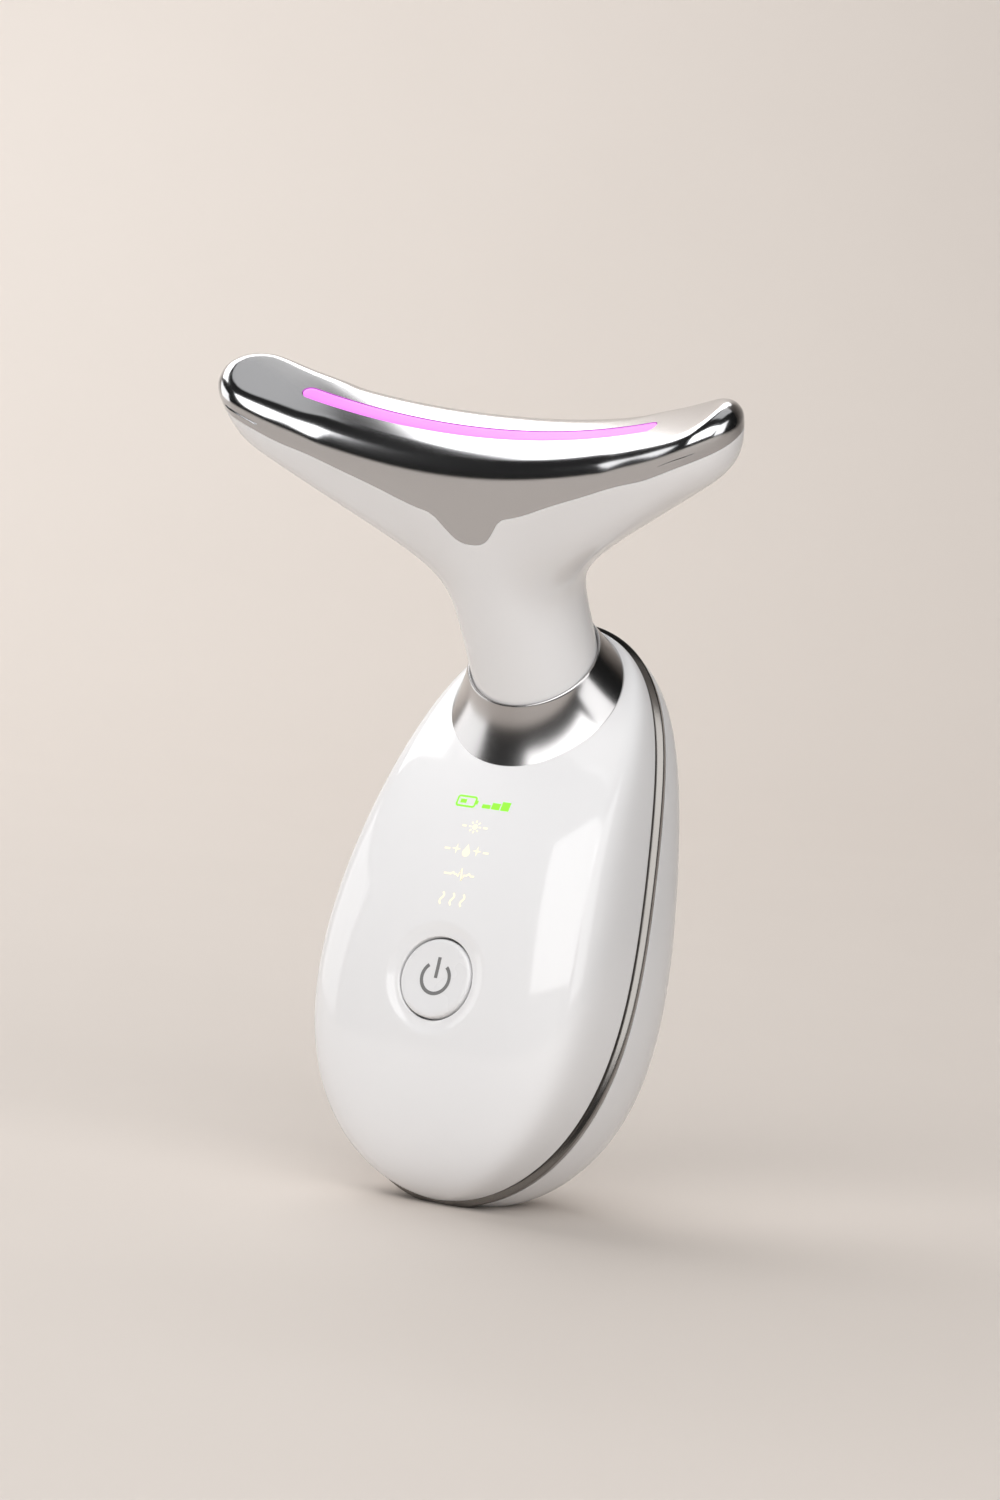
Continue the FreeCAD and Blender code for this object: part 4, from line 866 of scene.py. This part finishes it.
def side_normal(v):
    """Outward direction of the head's side."""
    step = 1e-3
    up = head_side(v + step) - head_side(v - step)
    ring = head_side(v)
    around = np.roll(ring, -1, axis=0) - np.roll(ring, 1, axis=0)
    return unit(np.cross(around, up))


SHOULDER_STEPS = 14
TOP_STEPS = 10
CAP_STEPS = 26
HOUSING_STEPS = 80


def shoulder():
    """Loops over the rounded edge between the bar's side and its top."""
    rim = head_side(V_RIM)
    around = np.roll(rim, -1, axis=0) - np.roll(rim, 1, axis=0)
    step = 1e-3
    x, y = rim[:, 0], rim[:, 1]
    slope_x = (top_height(x + step, y) - top_height(x - step, y)) / (2 * step)
    slope_y = (top_height(x, y + step) - top_height(x, y - step)) / (2 * step)
    top_normal = unit(np.stack((-slope_x, -slope_y, np.ones(RING_STEPS)), axis=-1))
    inward = unit(np.cross(top_normal, around))
    down = unit(head_side(V_RIM - 0.02) - rim)
    angle = np.arccos(np.clip((inward * down).sum(axis=-1), -1, 1))
    room = np.linalg.norm(rim - head_side(V_EDGE), axis=-1)
    widest = SHOULDER_RADIUS - SHOULDER_TAPER * (x / HEAD_HALF_WIDTH) ** 2
    reach = np.minimum(np.minimum(SHOULDER_RADIUS / np.tan(angle / 2), widest), SHOULDER_ROOM * room)
    v_start = V_RIM.copy()
    for _ in range(30):
        gone = np.linalg.norm(head_side(v_start) - rim, axis=-1)
        v_start -= (reach - gone) * 0.02
    start = head_side(v_start)
    end = rim + inward * reach[:, None]
    end[:, 2] = top_height(end[:, 0], end[:, 1])
    weight = np.sin(angle / 2)[:, None]
    loops = []
    for t in np.linspace(0, 1, SHOULDER_STEPS + 1):
        a, b, c = (1 - t) ** 2, 2 * t * (1 - t) * weight, t * t
        loops.append((a * start + b * rim + c * end) / (a + b + c))
    return v_start, loops


def slot_loop(half_length, half_width):
    """Loop round the strip, one point for each ring step."""
    quarter = np.where((RING_U * 4) % 2 <= 1, (RING_U * 4) % 2, 2 - (RING_U * 4) % 2)
    end = half_length - half_width
    turn = np.clip(quarter * 2, 0, 1) * math.pi / 2
    x = np.where(quarter <= 0.5, end + half_width * np.cos(turn), end * (1 - quarter) * 2)
    y = half_width * np.sin(turn)
    x = np.where((RING_U > 0.25) & (RING_U < 0.75), -x, x)
    y = np.where(RING_U > 0.5, -y, y)
    return np.column_stack((x, y))


def on_top(flat, drop=0.0):
    return np.column_stack((flat, top_height(flat[:, 0], flat[:, 1]) - drop))


EDGE_ROUND = 0.08
EDGE_TURNS = (1.0, 0.6, 0.25, 0.0)
EDGE_SKIP = 0.03
HOUSING_REACH = 0.99


def eased_edge(v_edge, sign):
    """Loops that round a parting edge into the groove between cap and housing."""
    normal = side_normal(v_edge)
    step = unit(head_side(v_edge + 0.02) - head_side(v_edge)) * sign
    base = head_side(v_edge)
    loops = []
    for turn in EDGE_TURNS:
        angle = turn * math.pi / 2
        along, inward = EDGE_ROUND * (1 - math.sin(angle)), EDGE_ROUND * (1 - math.cos(angle))
        loops.append(base + step * along - normal * inward)
    return loops


def closed_by_wall(loops, wall, name, place, sharp=40.0):
    """Open sheet of loops made into a wall of even thickness on its inner side."""
    skin = Skin()
    skin.loops(np.array([skin.add(loop) for loop in loops]))
    obj = linked(name + "_sheet", mesh_of(name, skin.shape(place)))
    thick = obj.modifiers.new("wall", "SOLIDIFY")
    thick.thickness = wall * MM
    thick.offset = -1
    thick.use_even_offset = False
    return plain_mesh(obj, name, sharp)


V_SHOULDER, SHOULDER_LOOPS = shoulder()
cap_loops = eased_edge(V_EDGE, 1)
for k in range(1, CAP_STEPS):
    share = k / CAP_STEPS
    cap_loops.append(head_side(V_EDGE + (V_SHOULDER - V_EDGE) * (EDGE_SKIP + (1 - EDGE_SKIP) * share)))
cap_loops += SHOULDER_LOOPS
slot_edge = slot_loop(STRIP_HALF_LENGTH + SLOT_GAP, STRIP_HALF_WIDTH + SLOT_GAP)
shoulder_flat = SHOULDER_LOOPS[-1][:, :2]
for k in range(1, TOP_STEPS + 1):
    share = k / TOP_STEPS
    cap_loops.append(on_top(shoulder_flat + (slot_edge - shoulder_flat) * share))
cap_loops.append(on_top(slot_edge, SLOT_DEPTH))
cap = closed_by_wall(cap_loops, CAP_WALL, "head_cap_skin", from_head)
carry(cap, "handle", "plated", PLATED, "head_cap")

housing_loops = []
for k in range(HOUSING_STEPS):
    share = k / HOUSING_STEPS
    housing_loops.append(head_side(V_NECK + (V_EDGE - V_NECK) * share * HOUSING_REACH))
housing_loops += eased_edge(V_EDGE, -1)[::-1]
housing = closed_by_wall(housing_loops, HOUSING_WALL, "head_housing_skin", from_head)
carry(housing, "handle", "shell_white", WHITE_GLOSS, "head_housing")

STRIP_PROFILE = ((1.0, 2.0), (1.0, 0.16), (0.94, 0.07), (0.8, 0.03), (0.45, 0.0))


def light_strip():
    """Strip with a rounded top; each step of its profile is a share of its width and a drop."""
    skin = Skin()
    loops = []
    for width_share, drop in STRIP_PROFILE:
        narrow = STRIP_HALF_WIDTH * (1 - width_share)
        outline = slot_loop(STRIP_HALF_LENGTH - narrow, STRIP_HALF_WIDTH * width_share)
        loops.append(skin.add(on_top(outline, drop)))
    skin.loops(np.array(loops))
    for loop in (loops[0], loops[-1]):
        half = RING_STEPS // 2
        pairs = np.array([[loop[i], loop[-i]] for i in range(1, half)])
        skin.quads(pairs)
        for tip, pair in ((loop[0], pairs[0]), (loop[half], pairs[-1])):
            skin.faces.append((tip, pair[0], pair[1]))
    return skin.piece("light_strip_lens", from_head)


carry(light_strip(), "handle", "strip_glow", STRIP_GLOW, "light_strip")


# Collar

COLLAR_STEPS = 192
COLLAR_ROWS = 30
LIP_ROWS = ((0.988, 0.07), (0.975, 0.08), (0.963, 0.02), (0.957, -0.1), (0.945, -0.4))
BORE_SHARE = 0.93
FOOT_HEIGHT = -0.25
SEAT_RANGE = (-9.0, 6.0)


def collar_loops():
    """Loops up the flare, from the round foot to the oval mouth round the neck."""
    turn = np.arange(COLLAR_STEPS) / COLLAR_STEPS * 2 * math.pi
    c, s = np.cos(turn), np.sin(turn)
    lip_x = NECK_HALF_WIDTH + COLLAR_LIP
    lip_y = NECK_HALF_DEPTH / math.cos(COLLAR_TILT - NECK_TILT) + COLLAR_LIP
    rise, pull = (np.polyfit((0.0, 0.5, 1.0), (0, waist, 1), 2) for waist in COLLAR_WAIST)
    loops = []
    for q in np.linspace(0, 1, COLLAR_ROWS + 1):
        inward = np.polyval(pull, q)
        x = (COLLAR_RADIUS + (lip_x - COLLAR_RADIUS) * inward) * c
        y = (COLLAR_RADIUS + (lip_y - COLLAR_RADIUS) * inward) * s + COLLAR_SHIFT * inward
        loops.append(np.stack((x, y, np.full_like(c, COLLAR_RISE * np.polyval(rise, q))), axis=-1))
    return loops


def seated(loop):
    """Moves a loop down the collar's axis on to the front shell."""
    result = loop.copy()

    def outside(height):
        result[:, 2] = height
        x, y, z = collar_on_handle(result).T
        return (y < FRONT_OUTER.lifted(x, np.clip(z, 0, HANDLE_LENGTH))) | (z > HANDLE_LENGTH)

    result[:, 2] = first_past(outside, *SEAT_RANGE, COLLAR_STEPS)
    return result


def collar():
    flare = collar_loops()
    skin = Skin()
    foot = seated(flare[0])
    foot[:, 2] = np.minimum(foot[:, 2], FOOT_HEIGHT)
    rows = [foot + (flare[0] - foot) * share for share in (0.0, 0.5, 0.9)]
    rows += flare
    mouth = flare[-1]
    centre = np.array((0, COLLAR_SHIFT, 0))
    for share, rise in LIP_ROWS:
        rows.append(centre + (mouth - centre) * (share, share, 1) + (0, 0, rise))
    rows.append(seated(centre + (mouth - centre) * (BORE_SHARE, BORE_SHARE, 1)))
    loops = [skin.add(row) for row in rows]
    skin.loops(np.array(loops + loops[:1]))
    return skin.piece("collar_flare", from_collar)


carry(collar(), "handle", "plated", SATIN_PLATED, "collar_ring")


# Button with its symbol

BUTTON_FACE = -FRONT_OUTER.lifted(np.array(0.0), np.array(BUTTON_HEIGHT))


def from_button(points):
    """Points drawn with z towards the front from the parting plane."""
    x, y, z = np.moveaxis(np.asarray(points, float), -1, 0)
    return from_handle(np.stack((x, -z, y + BUTTON_HEIGHT), axis=-1))


BUTTON_PROFILE = (
    (1.6, -7.75), (1.6, -4.4), (6.6, -4.4), (6.6, -3.5), (5.7, -3.5), (5.7, -0.85), (5.66, -0.62),
    (5.55, -0.45), (5.35, -0.35), (5.1, -0.31), (4.6, -0.33), (3.6, -0.38), (2.4, -0.42), (1.2, -0.44))
FACE_RADII, FACE_HEIGHTS = np.array(BUTTON_PROFILE[:8:-1]).T


def turned(name, profile, place, steps, sharp=30.0):
    """Closed piece turned about its own axis from a profile of radius and height."""
    turn = np.arange(steps) / steps * 2 * math.pi
    c, s = np.cos(turn), np.sin(turn)
    skin = Skin()
    rows = [skin.add(np.stack((r * c, r * s, np.full(steps, z)), axis=-1)) for r, z in profile]
    skin.loops(np.array(rows))
    for row, (_, z) in ((rows[0], profile[0]), (rows[-1], profile[-1])):
        skin.fan(row, int(skin.add(np.array((0.0, 0.0, z)))))
    return skin.piece(name, place, sharp)


button_profile = [(r, BUTTON_FACE + z) for r, z in BUTTON_PROFILE]
button = turned("power_button_cap", button_profile, from_button, 128)
carry(button, "button", "button_white", BUTTON_WHITE, "power_button")


# Marks of the lit display and the button's symbol: thin closed lines and plates that lie on a surface

def round_path(turns, radius, centre=(0.0, 0.0)):
    angles = np.radians(turns)
    return np.array(centre) + radius * np.stack((np.sin(angles), np.cos(angles)), axis=-1)


def wave_path(x, reach):
    t = np.linspace(-1, 1, 25)
    return np.stack((x + 0.24 * np.sin(math.pi * t), reach * t), axis=-1)


def box_path(x, half_width, half_height, corner=0.3):
    """Outline of a box with round corners."""
    points = []
    for turn, side, rise in ((0, 1, 1), (90, 1, -1), (180, -1, -1), (270, -1, 1)):
        middle = (x + side * (half_width - corner), rise * (half_height - corner))
        points.extend(round_path(np.linspace(turn, turn + 90, 6), corner, middle))
    return np.array(points)


MARK_LIFT = 0.03
MARK_SINK = 0.05
LINE = 0.14
FINE_LINE = LINE * 0.8
SYMBOL_LINE = 0.26
ALL_ROUND = np.arange(0, 360, 15)


class Marks:
    """Marks laid on a surface, which is given as a function of points across and up and of their lift."""

    def __init__(self, surface):
        self.skin = Skin()
        self.surface = surface

    def stroke(self, path, half_width, height=0.0, closed=False):
        path = np.asarray(path, float) + (0, height)
        if closed:
            ahead = np.roll(path, -1, axis=0) - np.roll(path, 1, axis=0)
        else:
            ahead = np.gradient(path, axis=0)
        side = unit(np.stack((-ahead[:, 1], ahead[:, 0]), axis=-1)) * half_width
        corners = ((1, MARK_LIFT), (-1, MARK_LIFT), (-1, -MARK_SINK), (1, -MARK_SINK))
        sections = np.array([self.skin.add(self.surface(path + side * a, b)) for a, b in corners]).T
        if closed:
            sections = np.concatenate((sections, sections[:1]))
        else:
            self.skin.faces += [tuple(sections[0]), tuple(sections[-1])]
        self.skin.loops(sections)

    def plate(self, outline, height=0.0):
        outline = np.asarray(outline, float) + (0, height)
        middle = outline.mean(axis=0, keepdims=True)
        loops = [self.skin.add(self.surface(outline, lift)) for lift in (MARK_LIFT, -MARK_SINK)]
        self.skin.loops(np.array(loops))
        for loop, lift in zip(loops, (MARK_LIFT, -MARK_SINK)):
            self.skin.fan(loop, int(self.skin.add(self.surface(middle, lift))[0]))


def on_front(flat, lift):
    y = FRONT_OUTER.lifted(flat[:, 0], flat[:, 1]) - lift
    return np.stack((flat[:, 0], y, flat[:, 1]), axis=-1)


def on_button(flat, lift):
    reach = np.hypot(flat[:, 0], flat[:, 1])
    up = BUTTON_FACE + np.interp(reach, FACE_RADII, FACE_HEIGHTS) + lift
    return np.stack((flat[:, 0], flat[:, 1], up), axis=-1)


line_heights = [FIRST_LINE_HEIGHT + i * LINE_PITCH for i in range(5)]

level = Marks(on_front)
level.stroke(box_path(-2.9, 1.5, 0.75), LINE, line_heights[4], closed=True)
level.stroke(((-1.12, -0.3), (-1.12, 0.3)), LINE, line_heights[4])
level.stroke(((-3.4, -0.3), (-3.4, 0.3)), 0.5, line_heights[4])
for x, tall in ((0.55, 0.6), (2.1, 1.0), (3.65, 1.35)):
    level.stroke(((x, -0.7), (x, tall - 0.7)), 0.68, line_heights[4])
carry(level.skin.piece("level_marks", from_handle), "handle", "lamp_clear", LEVEL_GREEN)

modes = Marks(on_front)
for x in (-1.75, 1.75):
    modes.stroke(((x - 0.35, 0), (x + 0.35, 0)), LINE, line_heights[3])
modes.plate(round_path(ALL_ROUND, 0.42), line_heights[3])
for turn in range(0, 360, 45):
    modes.stroke((round_path(turn, 0.62), round_path(turn, 0.98)), FINE_LINE, line_heights[3])
drop = round_path(np.linspace(40, 320, 21), 0.62, (0.0, -0.3))
modes.plate(np.concatenate((drop, ((0.0, 0.98),))), line_heights[2])
star_reach = np.tile((0.75, 0.2), 4)[:, None]
star = round_path(np.arange(0, 360, 45), star_reach)
for x in (-1.7, 1.7):
    modes.plate(star + (x, 0.1), line_heights[2])
for x in (-3.2, 3.2):
    modes.stroke(((x - 0.45, 0), (x + 0.45, 0)), LINE, line_heights[2])
pulse = (
    (-2.5, 0), (-1.35, 0), (-1.0, 0.28), (-0.7, 0), (-0.4, 0), (-0.15, -0.3), (0.2, 0.95), (0.6, -0.85),
    (0.85, 0), (1.25, 0), (1.6, 0.3), (1.95, 0), (2.5, 0))
modes.stroke(pulse, LINE, line_heights[1])
for x in (-1.7, 0.0, 1.7):
    modes.stroke(wave_path(x, 0.9), LINE, line_heights[0])
carry(modes.skin.piece("mode_marks", from_handle), "handle", "lamp_clear", MARK_WARM)

symbol = Marks(on_button)
symbol.stroke(round_path(np.linspace(40, 320, 60), 2.25), SYMBOL_LINE)
symbol.stroke(((0.0, 0.0), (0.0, 1.5), (0.0, 3.0)), SYMBOL_LINE)
carry(symbol.skin.piece("power_symbol", from_button), "button", "button_white", ICON_GREY)


# Camera, floor and light

CAMERA_RIGHT = Vector((0.84655, 0.52546, 0.08507))
CAMERA_UP = Vector((-0.11641, 0.0268, 0.99284))
CAMERA_BACK = Vector((0.51942, -0.85039, 0.08386))
CAMERA_PLACE = Vector((425.05, -698.43, 133.48)) * MM
CAMERA_LENS = 138.07
camera = linked("camera", bpy.data.cameras.new("camera"))
turned_camera = Matrix((CAMERA_RIGHT, CAMERA_UP, CAMERA_BACK)).transposed().to_4x4()
camera.matrix_world = Matrix.Translation(CAMERA_PLACE) @ turned_camera
camera.data.sensor_width = 36.0
camera.data.lens = CAMERA_LENS
camera.data.clip_start = 0.01
bpy.context.scene.camera = camera


FLOOR_REACH = 3.0
SWEEP_START = 0.6
SWEEP_RADIUS = 0.5
SWEEP_STEPS = 12


def backdrop():
    """Pale floor that sweeps up behind the device, in metres."""
    profile = [(-FLOOR_REACH, 0.0), (SWEEP_START, 0.0)]
    for k in range(1, SWEEP_STEPS + 1):
        angle = k / SWEEP_STEPS * math.pi / 2
        rise = SWEEP_RADIUS * (1 - math.cos(angle))
        profile.append((SWEEP_START + SWEEP_RADIUS * math.sin(angle), rise))
    profile.append((SWEEP_START + SWEEP_RADIUS, FLOOR_REACH))
    skin = Skin()
    behind = -CAMERA_BACK.xy.normalized()
    across = Vector((behind.y, -behind.x))
    rows = []
    for out, up in profile:
        spots = [behind * out + across * side for side in (-FLOOR_REACH, FLOOR_REACH)]
        rows.append(skin.add([(spot.x, spot.y, up) for spot in spots]))
    skin.quads(np.array(rows))
    shape = skin.shape(np.asarray)
    bmesh.ops.recalc_face_normals(shape, faces=shape.faces)
    mesh = mesh_of("backdrop", shape)
    mesh.shade_smooth()
    mesh.materials.append(finish_of(
        "backdrop_paper", (0.64, 0.585, 0.54), (0.62, 0.565, 0.52), (0.6, 0.7), cloud=6.0, grain=400.0))
    linked("backdrop", mesh)


backdrop()


def soft_light(name, place, aim, size, power):
    """Soft lamp that faces a point."""
    lamp = bpy.data.lights.new(name, "AREA")
    lamp.shape = "RECTANGLE"
    lamp.size, lamp.size_y = size
    lamp.energy = power
    obj = linked(name, lamp)
    obj.location = place
    obj.rotation_euler = (Vector(aim) - Vector(place)).to_track_quat("-Z", "Y").to_euler()


STAND = (0, 0, 0.06)
soft_light("overhead", (-0.85, 0.4, 0.95), (-0.75, 0.35, 0.0), (1.3, 0.9), 13.0)
soft_light("top_fill", (0.02, 0.2, 0.95), (0.02, 0.199, 0.0), (0.6, 0.6), 0.8)
soft_light("left_window", (-0.9, -0.3, 0.25), STAND, (0.7, 0.46), 1.8)
soft_light("front_window", (0.32, -0.95, 0.75), STAND, (1.55, 0.9), 13.5)
soft_light("right_window", (0.95, -0.25, 0.5), STAND, (0.6, 0.8), 3.0)

world = bpy.data.worlds.new("studio")
bpy.context.scene.world = world
world.use_nodes = True
background = world.node_tree.nodes["Background"]
background.inputs["Color"].default_value = (0.012, 0.012, 0.012, 1)
background.inputs["Strength"].default_value = 1.0

bpy.context.scene.view_settings.view_transform = "Standard"
